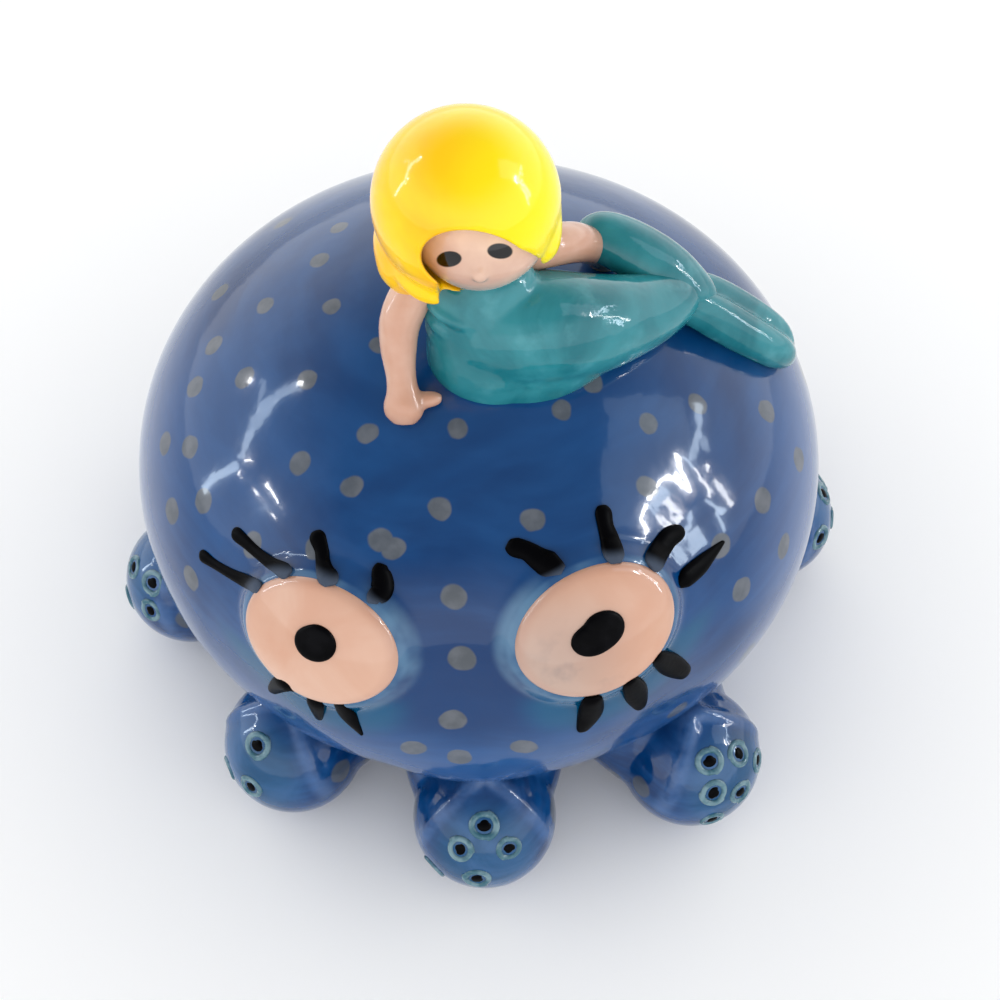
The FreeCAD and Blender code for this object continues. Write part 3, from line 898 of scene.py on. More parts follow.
def head_glaze(colours):
    """Blue glaze with brush streaks and beige dabs, painted shade under and between the eyes, painted
    reflections on the lower part and the sides, and lid blue with painted highlights round the eyes.
    """
    glaze = Glaze("Blue glaze with dabs", roughness=0.12, coat=0.3)
    height = glaze.vector("DOT_PRODUCT", glaze.places, (0, 0, 1 / MM), output=1)
    patches = glaze.between(glaze.noise(scale=22, detail=4, stretch=(1, 1, 1.8), distortion=0.6), 0.36, 0.66)
    streaks = glaze.between(glaze.noise(scale=60, detail=5, stretch=(1, 1, 6), distortion=0.3), 0.35, 0.75)
    blue = glaze.mix(patches, colours.deep_blue, colours.blue)
    blue = glaze.wash(blue, colours.pale_blue, 0.25, streaks)
    # Painted reflection of the pale floor: lilac washed over the lower part of the head, stronger towards
    # the bottom.
    blue = glaze.wash(blue, colours.painted_floor_reflection, 0.75, glaze.between(height, 50, 20))
    # Painted reflection: the head's left and right sides are washed a paler blue.
    across = glaze.vector("DOT_PRODUCT", glaze.places, (1 / MM, 0, 0), output=1)
    aside = glaze.maths("ABSOLUTE", glaze.maths("SUBTRACT", across, AXIS.x))
    blue = glaze.wash(blue, colours.painted_rim_reflection, 0.6, glaze.between(aside, 46, 66))
    # Painted shade: deep blue in the hollow between the eyes.
    painted_shade_between_eyes = glaze.between(glaze.away(oval_point(1, 57)[0]), 0.017, 0.009)
    blue = glaze.wash(blue, colours.deep_blue, 0.8, painted_shade_between_eyes)
    for side, inward in (("left", 1), ("right", -1)):
        x, y, reach = glaze.eye_shares(side)
        inner = glaze.maths("MULTIPLY", x, inward)
        # Painted shade: teal darkening below and to the outer side of each eye.
        blue = glaze.wash(blue, colours.teal_tint_and_painted_shade, 0.85, glaze.between(reach, 1.9, 1.45),
                          glaze.between(y, -0.55, -0.95), glaze.between(inner, 1.25, 0.8))
        # Painted highlight: lid blue over the inner and upper side of each lid. The narrow ring next to the
        # eye is the lids' own pale blue glaze.
        uneven = glaze.between(glaze.noise(scale=90, detail=3), 0.25, 0.6)
        blue = glaze.wash(blue, colours.lid, 0.75, glaze.between(reach, 1.24, 1.10), uneven,
                          glaze.between(inner, 0.2, 0.8), glaze.between(y, -1.2, -0.5))
        blue = glaze.wash(blue, colours.lid, 0.5, glaze.between(reach, 1.10, 1.05), uneven)
    seen = [seen_point(across, down) for across, down in DOT_PIXELS]
    dabs = glaze.nearest(seen + hidden_dots(seen))
    radius = glaze.maths("MULTIPLY_ADD", glaze.between(height, 58, 92), -0.0006, DOT_RADIUS * MM)
    paint = glaze.between(glaze.maths("SUBTRACT", dabs, radius), 0.00025, -0.00025)
    thin = glaze.between(glaze.noise(scale=300, detail=3), 0.3, 0.7)
    dab = glaze.mix(thin, colours.dab, colours.pale_dab)
    glaze.colour(glaze.mix(glaze.maths("MULTIPLY", paint, 0.8), blue, dab))
    glaze.ripple(scale=45, height=0.5)
    return glaze.material


def arm_glaze(colours):
    """Blue glaze of the arms, greener and paler where the suckers sit, and paler with painted highlights
    along the ridges.
    """
    glaze = Glaze("Blue glaze of the arms", roughness=0.1, coat=0.4)
    patches = glaze.between(glaze.noise(scale=70, detail=4, stretch=(1, 1, 1.3), distortion=0.8), 0.38, 0.62)
    streaks = glaze.between(glaze.noise(scale=120, detail=5, stretch=(1, 1, 5)), 0.4, 0.75)
    blue = glaze.mix(patches, colours.deep_blue, colours.blue)
    blue = glaze.wash(blue, colours.pale_blue, 0.4, streaks)
    face = glaze.between(glaze.mark("sucker side"), 0.1, 0.5)
    blue = glaze.wash(blue, colours.teal_tint_and_painted_shade, 0.55, face)
    blue = glaze.wash(blue, colours.pale_arm_and_painted_highlight, 0.35, face, patches)
    # Pale glaze where it breaks over the ridges, with a painted highlight along them, broken up by noise.
    ridge = glaze.between(glaze.mark("ridge"), 0.2, 0.9)
    ridge_breaks = glaze.between(glaze.noise(scale=160, detail=3), 0.3, 0.55)
    blue = glaze.wash(blue, colours.pale_arm_and_painted_highlight, 0.75, ridge, ridge_breaks)
    dots = []
    for azimuth, out in ARMS:
        outward = out_direction(azimuth)
        side = UP.cross(outward)
        foot = outward * (ARM_REACH - FOOT_RADIUS + out)
        for sideways, ahead, height in ARM_DOTS:
            dots.append(foot + side * sideways + outward * ahead + UP * height)
    paint = glaze.between(glaze.nearest(dots), 0.0027, 0.0021)
    glaze.colour(glaze.mix(glaze.maths("MULTIPLY", paint, 0.7), blue, colours.dab))
    glaze.ripple(scale=90, height=0.35)
    return glaze.material


def sucker_glaze(colours):
    """Pale blue-green of the sucker rings."""
    glaze = Glaze("Pale glaze of the suckers", roughness=0.2, coat=0.3)
    patches = glaze.between(glaze.noise(scale=420, detail=3), 0.35, 0.65)
    glaze.colour(glaze.mix(patches, colours.sucker, colours.pale_sucker))
    glaze.ripple(scale=500, height=0.12)
    return glaze.material


def black_glaze(colours):
    """Thick black glaze."""
    glaze = Glaze("Black glaze", roughness=0.3, coat=0.0)
    glaze.shader.inputs["Specular IOR Level"].default_value = 0.03
    patches = glaze.between(glaze.noise(scale=300, detail=3), 0.4, 0.7)
    glaze.colour(glaze.mix(patches, colours.black, (0.003, 0.003, 0.004)))
    glaze.ripple(scale=350, height=0.15)
    return glaze.material


def lash_glaze(colours):
    """Black glaze with a painted reflection in grey where a stroke runs over the lid."""
    glaze = Glaze("Black glaze of the lashes", roughness=0.35, coat=0.0)
    glaze.shader.inputs["Specular IOR Level"].default_value = 0.02
    # Painted reflection: the lashes turn grey where they cross the upper lid's edge.
    grey = None
    for side in EYES:
        _, y, reach = glaze.eye_shares(side)
        near = glaze.maths("MULTIPLY", glaze.between(reach, 1.2, 1.05), glaze.between(y, 0.0, 0.3))
        grey = near if grey is None else glaze.maths("MAXIMUM", grey, near)
    glaze.colour(glaze.mix(glaze.maths("MULTIPLY", grey, 0.8), colours.black, colours.grey_black_and_painted_reflection))
    glaze.ripple(scale=350, height=0.15)
    return glaze.material


def pink_glaze(colours):
    """Flesh-pink of the eyes, with painted shade in grey on the inner side of the right one and a deeper
    pink painted shade round each edge.
    """
    glaze = Glaze("Pink glaze of the eyes", roughness=0.1, coat=0.5)
    patches = glaze.between(glaze.noise(scale=55, detail=4, distortion=0.5), 0.35, 0.7)
    pink = glaze.mix(patches, colours.pink, colours.pale_pink)
    right = eye_frame("right")
    # Painted shade: grey over the inner side of the right eye, with darker specks at its lower inner side.
    painted_shade_share = glaze.between(glaze.away(right[0] - right[1] * 8 - right[2] * 2), 0.018, 0.004)
    pink = glaze.mix(glaze.maths("MULTIPLY", painted_shade_share, 0.6), pink, colours.painted_shade_grey)
    speckled_painted_shade = glaze.between(glaze.away(right[0] - right[1] * 4 - right[2] * 2), 0.012, 0.003)
    speckled_painted_shade = glaze.maths("MULTIPLY", speckled_painted_shade, glaze.between(glaze.noise(scale=170, detail=3), 0.5, 0.7))
    pink = glaze.mix(glaze.maths("MULTIPLY", speckled_painted_shade, 0.5), pink, colours.grey_black_and_painted_reflection)
    # Painted shade: a deeper pink round the edge of each eye, where it curves away.
    for side in EYES:
        _, _, reach = glaze.eye_shares(side)
        rim = glaze.maths("MULTIPLY", glaze.between(reach, 0.84, 0.98), glaze.between(reach, 1.4, 1.2))
        pink = glaze.mix(glaze.maths("MULTIPLY", rim, 0.35), pink, colours.painted_edge_shade_pink)
    glaze.colour(pink)
    glaze.ripple(scale=60, height=0.3)
    return glaze.material


def teal_glaze(colours):
    """Teal of the dress, darker in patches and paler where the glaze breaks."""
    glaze = Glaze("Teal glaze", roughness=0.1, coat=0.35)
    patches = glaze.between(glaze.noise(scale=70, detail=4, distortion=0.8), 0.35, 0.68)
    teal = glaze.mix(patches, colours.deep_teal, colours.teal)
    thin = glaze.between(glaze.noise(scale=160, detail=4), 0.55, 0.78)
    teal = glaze.mix(glaze.maths("MULTIPLY", thin, 0.45), teal, colours.pale_teal)
    glaze.colour(teal)
    glaze.ripple(scale=110, height=0.5)
    return glaze.material


def skin_glaze(colours):
    """Pale skin colour with a little warmth."""
    glaze = Glaze("Skin glaze", roughness=0.16, coat=0.6)
    patches = glaze.between(glaze.noise(scale=90, detail=4), 0.35, 0.7)
    glaze.colour(glaze.mix(patches, colours.skin, colours.pale_skin))
    glaze.ripple(scale=140, height=0.25)
    return glaze.material


def face_glaze(colours):
    """Skin glaze with two dabs of black for eyes, close under the fringe."""
    glaze = Glaze("Skin glaze of the face", roughness=0.16, coat=0.6)
    patches = glaze.between(glaze.noise(scale=90, detail=4), 0.35, 0.7)
    # Painted light: the face's skin is lighter than the arms' to cancel the shade that falls under the hair.
    skin = glaze.mix(patches, colours.pale_skin, colours.face)
    black = None
    _, right, up, _ = camera_place()
    for across, down in EYE_DABS:
        start, direction = sight(across, down)
        centre = land(start, direction, ball_gap(FACE_CENTRE, FACE_RADIUS))
        offset = glaze.vector("SUBTRACT", glaze.places, tuple((centre + AXIS) * MM))
        x = glaze.vector("DOT_PRODUCT", offset, tuple(right / (EYE_DAB_WIDTH * MM)), output=1)
        y = glaze.vector("DOT_PRODUCT", offset, tuple(up / (EYE_DAB_HEIGHT * MM)), output=1)
        reach = glaze.maths("ADD", glaze.maths("MULTIPLY", x, x), glaze.maths("MULTIPLY", y, y))
        dab = glaze.between(reach, 1.15, 0.8)
        black = dab if black is None else glaze.maths("MAXIMUM", black, dab)
    glaze.colour(glaze.mix(black, skin, colours.black))
    glaze.ripple(scale=140, height=0.2)
    return glaze.material


def hair_glaze(colours):
    """Bright yellow, warmer in patches, with painted shade darkening the lower ends of the locks."""
    glaze = Glaze("Yellow glaze", roughness=0.12, coat=0.3)
    patches = glaze.between(glaze.noise(scale=60, detail=3, distortion=0.4), 0.35, 0.7)
    side = glaze.vector("DOT_PRODUCT", glaze.places, (1 / MM, 0.3 / MM, 0), output=1)
    side = glaze.between(glaze.maths("SUBTRACT", side, AXIS.x + AXIS.y * 0.3), -16.0, 6.0)
    warm = glaze.mix(patches, colours.deep_yellow, colours.yellow)
    yellow = glaze.mix(side, warm, colours.lemon)
    # Painted shade: the hair below a height is darkened to a brownish yellow, broken up by noise.
    ends = glaze.between(glaze.vector("DOT_PRODUCT", glaze.places, (0, 0, 1), output=1), 0.112, 0.104)
    ends = glaze.maths("MULTIPLY", ends, glaze.between(glaze.noise(scale=220, detail=3), 0.4, 0.65))
    glaze.colour(glaze.mix(glaze.maths("MULTIPLY", ends, 0.5), yellow, colours.painted_shade_yellow))
    glaze.ripple(scale=90, height=0.3)
    return glaze.material


def tint(name, description, default):
    """A colour that a user can change."""
    return bpy.props.FloatVectorProperty(
        name=name, description=description, default=default, size=3, min=0, max=1, subtype="COLOR"
    )


class OctopusColours(bpy.types.PropertyGroup):
    """Colours of the glazes."""

    # Deep blue is also the painted shade between the eyes.
    deep_blue: tint("Deep blue", "Head and arms where the glaze is thick", (0, 0.028, 0.115))
    blue: tint("Blue", "Head and arms", (0.002, 0.05, 0.175))
    pale_blue: tint("Pale blue", "Streaks where the blue is thin", (0.015, 0.095, 0.28))
    # Painted reflection: the floor's lilac-grey mirrored in the head's lower part.
    painted_floor_reflection: tint("Lilac", "Lower edge of the head", (0.04, 0.115, 0.31))
    # Painted reflection of the bright room on the head's sides.
    painted_rim_reflection: tint("Edge blue", "Sides of the head", (0.11, 0.17, 0.34))
    # The lids' own light blue, and painted highlights on their inner sides.
    lid: tint("Lid", "Soft rims round the eyes", (0.1, 0.21, 0.33))
    # Pale glaze of the arms, also a painted highlight along their ridges.
    pale_arm_and_painted_highlight: tint("Arm light", "Ridges and thin glaze of the arms", (0.07, 0.15, 0.33))
    # Teal tint on the arms' sucker side, and painted shade under the eyes.
    teal_tint_and_painted_shade: tint("Teal wash", "Under the eyes and on the sucker side", (0, 0.075, 0.17))
    dab: tint("Dab", "Brush dabs", (0.085, 0.09, 0.085))
    pale_dab: tint("Pale dab", "Thin parts of the dabs", (0.13, 0.135, 0.135))
    sucker: tint("Sucker", "Sucker rings", (0.03, 0.11, 0.15))
    pale_sucker: tint("Pale sucker", "Thin parts of the rings", (0.14, 0.24, 0.28))
    black: tint("Black", "Pupils, lashes and suckers' middles", (0.001, 0.001, 0.0015))
    # Grey-black for the specks on the right eye, and the painted reflection on the lashes over the lid.
    grey_black_and_painted_reflection: tint("Thin black", "Lashes over the lid", (0.07, 0.09, 0.13))
    pink: tint("Pink", "Eyes", (0.56, 0.3, 0.2))
    pale_pink: tint("Pale pink", "Eyes where the glaze is thin", (0.62, 0.39, 0.29))
    # Painted shade round the edge of the eyes.
    painted_edge_shade_pink: tint("Rim pink", "Edge of the eyes", (0.42, 0.22, 0.16))
    # Painted shade in grey on the inner side of the right eye.
    painted_shade_grey: tint("Smudge", "Grey smudges on the right eye", (0.33, 0.27, 0.24))
    deep_teal: tint("Deep teal", "Dress where the glaze is thick", (0.005, 0.135, 0.165))
    teal: tint("Teal", "Dress", (0.025, 0.215, 0.25))
    pale_teal: tint("Pale teal", "Dress where the glaze is thin", (0.1, 0.36, 0.4))
    skin: tint("Skin", "Mermaid's arms and face", (0.52, 0.28, 0.19))
    # Painted light: skin made lighter on the face to cancel the shade under the hair.
    face: tint("Face", "Mermaid's face", (0.72, 0.50, 0.38))
    pale_skin: tint("Pale skin", "Skin where the glaze is thin", (0.6, 0.38, 0.29))
    yellow: tint("Yellow", "Hair", (0.96, 0.6, 0))
    lemon: tint("Lemon", "Hair on her left", (0.902, 0.739, 0))
    deep_yellow: tint("Deep yellow", "Crown of the hair", (0.92, 0.45, 0))
    # Painted shade on the lower ends of the locks.
    painted_shade_yellow: tint("Thin yellow", "Ends of the locks", (0.50, 0.36, 0.05))


class OctopusSizes(bpy.types.PropertyGroup):
    """Sizes that a user can change."""

    head_segments: bpy.props.IntProperty(
        name="Head segments", description="Faces round the head", default=256, min=64, max=320
    )
    clay_grain: bpy.props.FloatProperty(
        name="Clay grain", description="Fineness of the blended clay, in mm", default=0.55, min=0.3
    )


class OCTOPUS_OT_head(bpy.types.Operator):
    """Models the round head with its eye mounds, lids and vent"""

    bl_idname = "octopus.head"
    bl_label = "Head"

    def execute(self, context):
        head = self.ball_with_fine_eyes(context.scene.octopus_sizes.head_segments)
        move_points(head, self.settle)
        cut_level(head, HEAD_FLOOR)
        self.sink_vent(head)
        bpy.ops.object.shade_smooth_by_angle(angle=math.radians(45))
        finish_piece(head, "mantle_shell", head_glaze(context.scene.octopus_colours))
        return {"FINISHED"}

    def ball_with_fine_eyes(self, segments):
        """A ball of the head's sizes, with finer faces where the eyes sit."""
        head = start_object("head")
        bpy.ops.mesh.primitive_uv_sphere_add(
            segments=segments, ring_count=segments * 5 // 8, radius=MM,
            location=(AXIS + UP * GIRTH_HEIGHT) * MM,
            scale=(HEAD_RADIUS, HEAD_RADIUS, HEAD_RISE),
        )
        for side in EYES:
            point, _, _, normal = eye_frame(side)
            middle = (point + normal * MOUND_RISE + AXIS) * MM
            select_faces(head, lambda face: (face.calc_center_median() - middle).length < EYE_AREA * MM)
            bpy.ops.mesh.subdivide(number_cuts=1)
        bpy.ops.object.mode_set(mode="OBJECT")
        return head

    def sink_vent(self, head):
        """Borders the flat underside and sinks the vent into its middle."""
        bpy.ops.object.mode_set(mode="EDIT")
        bpy.ops.mesh.select_mode(type="FACE")
        select_faces(head, lambda face: face.calc_center_median().z < (HEAD_FLOOR + 0.01) * MM)
        for border in UNDERSIDE_BORDERS:
            bpy.ops.mesh.inset(thickness=border * MM)
        centre = (AXIS + UP * HEAD_FLOOR) * MM
        bpy.ops.transform.resize(value=(VENT_SHARE, VENT_SHARE, 1), center_override=centre)
        bpy.ops.mesh.inset(thickness=VENT_LIP * MM)
        bpy.ops.transform.translate(value=(0, 0, VENT_LIP_RISE * MM))
        bpy.ops.mesh.extrude_region_move(TRANSFORM_OT_translate={"value": (0, 0, VENT_DEPTH * MM)})
        face_outwards()
        bpy.ops.object.mode_set(mode="OBJECT")

    def settle(self, places):
        """Moves points of the plain ball onto the finished head."""
        centre = np.array((0, 0, GIRTH_HEIGHT))
        outward = places - centre
        outward /= np.linalg.norm(outward, axis=1)[:, None]
        for _ in range(SETTLE_STEPS):
            places = places - outward * head_gap(places)[:, None]
        return places


class OCTOPUS_OT_eyes(bpy.types.Operator):
    """Models the two domed eyes and their pupils"""

    bl_idname = "octopus.eyes"
    bl_label = "Eyes and pupils"

    def execute(self, context):
        colours = context.scene.octopus_colours
        pink = pink_glaze(colours)
        black = black_glaze(colours)
        for side in EYES:
            eye = self.button("eye_" + side, side, EYE_PROFILE, (0, 0), *EYES[side][3:])
            finish_piece(eye, "eye_" + side, pink)
            pupil = self.button("pupil_" + side, side, PUPIL_PROFILE, *PUPILS[side])
            finish_piece(pupil, "pupil_" + side, black)
        return {"FINISHED"}

    def button(self, name, side, profile, place, half_width, half_height, dent=0.0):
        """An oval button that follows the head's surface, dented a little at its upper left."""
        point, across, rise, normal = eye_frame(side)
        button = start_object(name)
        for share, height in profile:
            bpy.ops.mesh.select_all(action="DESELECT")
            middle = point + across * place[0] + rise * place[1] + normal * height
            add_ring(middle, across, rise, half_width * share, half_height * share, BUTTON_SIDES)
        bridge_rings(button, len(profile), BUTTON_SIDES)
        leave_edit()

        def follow(places):
            """Sets the points of the flat button on the curved head."""
            offset = places - np.array(point)
            x = offset @ np.array(across)
            y = offset @ np.array(rise)
            height = offset @ np.array(normal)
            if dent:
                turn = np.arctan2(y - place[1], x - place[0])
                hollow = np.exp(-(((turn - DENT_TURN) / DENT_SPREAD) ** 2))
                pull = 1 - dent * hollow + dent * DENT_SWELL * np.cos(2 * turn - DENT_LEAN)
                x = place[0] + (x - place[0]) * pull
                y = place[1] + (y - place[1]) * pull
            flat = np.array(point) + np.outer(x, across) + np.outer(y, rise)
            landed = flat + LANDING_RISE * np.array(normal)
            for _ in range(LANDING_STEPS):
                landed = landed - np.outer(bare_gap(landed), normal)
            return landed + np.outer(height, normal)

        move_points(button, follow)
        apply_modifier(button, "SUBSURF", levels=1, render_levels=1)
        bpy.ops.object.shade_smooth()
        return button


class OCTOPUS_OT_lashes(bpy.types.Operator):
    """Models the black slip-trailed lashes"""

    bl_idname = "octopus.lashes"
    bl_label = "Lashes"

    def execute(self, context):
        black = lash_glaze(context.scene.octopus_colours)
        for side, strokes in LASH_PIXELS.items():
            lashes = join("lashes_" + side, [self.lash(stroke) for stroke in strokes])
            apply_modifier(lashes, "SUBSURF", levels=1, render_levels=1)
            bpy.ops.object.shade_smooth()
            finish_piece(lashes, "lashes_" + side, black)
        return {"FINISHED"}

    def lash(self, stroke):
        """One stroke of thick glaze on the head, from its tip to its root."""
        camera = camera_place()[0]
        stations = []
        for across, down, half_pixels in stroke:
            start, direction = sight(across, down)
            place = land(start, direction, head_gap)
            half = half_pixels * LASH_WIDTH * (place - camera).length / PHOTO_FOCAL
            outward = outward_at(place, head_gap)
            stations.append((place + outward * half * LASH_LIFT, half, half * LASH_THICKNESS))
        outward = outward_at(stations[len(stations) // 2][0], head_gap)
        toward_tip = (stations[0][0] - stations[-1][0]).normalized()
        tip = self.cap(stations[0], toward_tip)
        root = self.cap(stations[-1], -toward_tip)
        return limb([tip, *stations, root], LASH_SIDES, outward)

    def cap(self, station, direction):
        """A smaller station beyond an end, which rounds the end off."""
        place, half_width, half_depth = station
        return place + direction * half_width * CAP_REACH, half_width * CAP_SHARE, half_depth * CAP_SHARE


class OCTOPUS_OT_arms(bpy.types.Operator):
    """Models one stubby curled arm and places a copy for each of the eight"""

    bl_idname = "octopus.arms"
    bl_label = "Arms"

    def execute(self, context):
        blue = arm_glaze(context.scene.octopus_colours)
        arm = self.pattern()
        for index, (azimuth, out) in enumerate(ARMS):
            copy = bpy.data.objects.new(f"arm_{index + 1}", arm.data.copy())
            context.collection.objects.link(copy)
            turn = Matrix.Rotation(math.radians(azimuth), 3, "Z")
            shift = np.array(out_direction(0) * out)
            spin = np.array(turn)
            move_points(copy, lambda places: (places + shift) @ spin.T)
            bpy.ops.object.select_all(action="DESELECT")
            copy.select_set(True)
            context.view_layer.objects.active = copy
            bpy.ops.object.shade_smooth_by_angle(angle=math.radians(50))
            finish_piece(copy, f"arm_{index + 1}", blue)
        bpy.data.objects.remove(arm, do_unlink=True)
        return {"FINISHED"}

    def pattern(self):
        """The arm that every arm is copied from, pointing to the front."""
        foot = out_direction(0) * (ARM_REACH - FOOT_RADIUS) + UP * FOOT_LIFT
        ridges = [self.ridge(side) for side in (1, -1)]
        arm = join("arm pattern", [
            limb(self.stations(ARM_ROOT), 32, UP), ball(foot, (FOOT_RADIUS,) * 3),
            limb(self.stations(ARM_TIP), 24, Vector((0, 1, 0))), *[limb(ridge, 16) for ridge in ridges],
        ])
        model_clay(arm, ARM_GRAIN, smoothing=6)
        cut_level(arm, 0)
        edges = [place for ridge in ridges for place, _, _ in eased(ridge)]
        mark_near(arm, "ridge", edges, RIDGE_REACH)
        mark_near(arm, "sucker side", [foot + SUCKER_SIDE], SUCKER_SIDE_REACH)
        return arm

    def stations(self, sections):
        """Stations of the pattern arm from its sections."""
        front = out_direction(0)
        return [(front * out + UP * height, wide, thick) for out, height, wide, thick in sections]

    def ridge(self, side):
        """One edge of the sucker side, on the right or the left flank."""
        return [
            (out_direction(0) * out + Vector((sideways * side, 0, height)), radius, radius)
            for out, sideways, height, radius in ARM_RIDGE
        ]


class OCTOPUS_OT_suckers(bpy.types.Operator):
    """Models the sucker rings with their dark middles"""

    bl_idname = "octopus.suckers"
    bl_label = "Suckers"

    def execute(self, context):
        colours = context.scene.octopus_colours
        pale = sucker_glaze(colours)
        black = black_glaze(colours)
        pattern = self.pattern()
        for index, (azimuth, out) in enumerate(ARMS):
            foot = out_direction(azimuth) * (ARM_REACH - FOOT_RADIUS + out) + UP * FOOT_LIFT
            copies = []
            dark = []
            for number, (sideways, upwards) in enumerate(SUCKERS[index]):
                level = out_direction(azimuth + sideways) * math.cos(math.radians(upwards))
                outward = level + UP * math.sin(math.radians(upwards))
                place = (foot + outward * (FOOT_RADIUS - SUCKER_SINK) + AXIS) * MM
                twist = Matrix.Rotation(SUCKER_TWIST * number, 3, "Z")
                turn = (outward.to_track_quat("Z", "Y").to_matrix() @ twist).to_4x4()
                size = 1 - SUCKER_SHRINK * (number % 3)
                copy = bpy.data.objects.new("sucker", pattern.data.copy())
                copy.data.transform(Matrix.Translation(place) @ turn @ Matrix.Scale(size, 4))
                context.collection.objects.link(copy)
                copies.append(copy)
                dark.append(place)
            group = join(f"suckers_{index + 1}", copies)
            bpy.ops.object.shade_smooth()
            finish_piece(group, f"suckers_{index + 1}", pale)
            group.data.materials.append(black)
            for face in group.data.polygons:
                near = min((face.center - middle).length for middle in dark)
                face.material_index = 1 if near < SUCKER_MIDDLE * MM else 0
        bpy.data.objects.remove(pattern, do_unlink=True)
        return {"FINISHED"}

    def pattern(self):
        """One sucker facing up: a flattened, slightly uneven ring round a low dark dab."""
        sucker = start_object("sucker pattern")
        bpy.ops.mesh.primitive_torus_add(
            major_segments=40, minor_segments=14, major_radius=SUCKER_RADIUS * MM,
            minor_radius=SUCKER_BAND * MM,
        )
        bpy.ops.transform.resize(value=(1.04, 0.95, 0.8), center_override=(0, 0, 0))
        select_vertices(sucker, lambda vertex: vertex.co.x > 0.8 * MM)
        bpy.ops.transform.resize(value=(1, 1.12, 1.15), center_override=(0, 0, 0))
        bpy.ops.mesh.select_all(action="DESELECT")
        bpy.ops.mesh.primitive_uv_sphere_add(
            segments=24, ring_count=12, radius=MM, location=(0, 0, 0.12 * MM),
            scale=(SUCKER_MIDDLE * 0.98, SUCKER_MIDDLE * 0.8, 0.4),
        )
        middle = SUCKER_MIDDLE * MM
        select_vertices(sucker, lambda vertex: vertex.co.length < middle and vertex.co.y > 0.4 * MM)
        bpy.ops.transform.resize(value=(0.75, 1.05, 1), center_override=(0.3 * MM, 0, 0))
        leave_edit()
        return sucker


class OCTOPUS_OT_mermaid_body(bpy.types.Operator):
    """Models the mermaid's dress and tail, and the two lobes of her fluke"""

    bl_idname = "octopus.mermaid_body"
    bl_label = "Mermaid's dress and flukes"

    def execute(self, context):
        grain = context.scene.octopus_sizes.clay_grain
        teal = teal_glaze(context.scene.octopus_colours)
        folds = [limb(self.fold(*fold), 12) for fold in FOLDS]
        body = join("mermaid_body", [limb(TORSO, 28), limb(TAIL, 28, UP), limb(SEAT, 24, UP), *folds])
        model_clay(body, grain, smoothing=6)
        finish_piece(body, "mermaid_body", teal)
        for name, stations, part in FLUKES:
            halves = [self.beside(stations, part), self.beside(stations, -part)] if part else [stations]
            fluke = join(name, [limb(half, 24, UP) for half in halves])
            model_clay(fluke, grain, smoothing=6)
            finish_piece(fluke, name, teal)
        return {"FINISHED"}

    def fold(self, side_height, front_height, radius):
        """A fold of the dress, from her side round to the front."""
        stations = []
        for share in (0.0, 0.25, 0.5, 0.75, 1.0):
            turn = math.radians(FOLD_START + FOLD_SPAN * share)
            height = side_height + (front_height - side_height) * share
            across = WAIST[0] + WAIST_HALF_WIDTH * math.sin(turn)
            place = Vector((across, WAIST[1] - WAIST_HALF_DEPTH * math.cos(turn), height))
            swell = radius * (0.4 + 0.6 * math.sin(math.pi * share))
            stations.append((place, swell, swell))
        return stations

    def beside(self, stations, part):
        """Narrower stations set off sideways by a share of their half width, to leave a groove."""
        moved = []
        for index, (place, half_width, half_depth) in enumerate(stations):
            ahead = Vector(stations[min(index + 1, len(stations) - 1)][0])
            behind = Vector(stations[max(index - 1, 0)][0])
            side = (ahead - behind).cross(UP).normalized()
            narrower = half_width * (1 - abs(part) * RIB_NARROWING)
            moved.append((Vector(place) + side * half_width * part, narrower, half_depth))
        return moved


class OCTOPUS_OT_mermaid_head(bpy.types.Operator):
    """Models the mermaid's head and her bobbed hair"""

    bl_idname = "octopus.mermaid_head"
    bl_label = "Mermaid's head and hair"

    def execute(self, context):
        colours = context.scene.octopus_colours
        grain = context.scene.octopus_sizes.clay_grain
        _, right, up, back = camera_place()
        start, direction = sight(*NOSE_PIXEL)
        nose = land(start, direction, ball_gap(FACE_CENTRE, FACE_RADIUS))
        face = join("mermaid_head", [
            ball(FACE_CENTRE, (FACE_RADIUS,) * 3), ball(nose - back * NOSE_SINK, NOSE_HALVES, 20),
        ])
        model_clay(face, FINE_GRAIN, smoothing=5)
        move_points(face, self.narrow_chin)
        finish_piece(face, "mermaid_head", face_glaze(colours))

        hair = join("mermaid_hair", [
            ball(HAIR_CENTRE, (HAIR_RADIUS,) * 3), limb(LEFT_LOCK, 24), limb(RIGHT_LOCK, 24),
            limb(LEFT_FLICK, 20),
        ])
        model_clay(hair, grain, smoothing=6)
        for across, down, half_width, half_height, tilt in FACE_OPENINGS:
            middle, direction = beside_sight(across, down, FACE_CENTRE)
            opening = [(middle - direction * far, half_width, half_height) for far in OPENING_REACH]
            take_away(hair, limb(opening, 40, up + right * tilt))
        take_away(hair, ball(FACE_CENTRE, (FACE_RADIUS + FACE_CLEARANCE,) * 3))
        model_clay(hair, HAIR_GRAIN, smoothing=12)
        finish_piece(hair, "mermaid_hair", hair_glaze(colours))
        return {"FINISHED"}

    def narrow_chin(self, places):
        """Draws the lower face in to a small rounded chin."""
        low = np.clip((FACE_CENTRE.z - 1 - places[:, 2]) / FACE_RADIUS, 0, 1)
        draw = 1 - CHIN_DRAW * low**CHIN_CURVE
        middle = np.array((FACE_CENTRE.x, FACE_CENTRE.y - 2))
        places[:, :2] = middle + (places[:, :2] - middle) * draw[:, None]
        return places


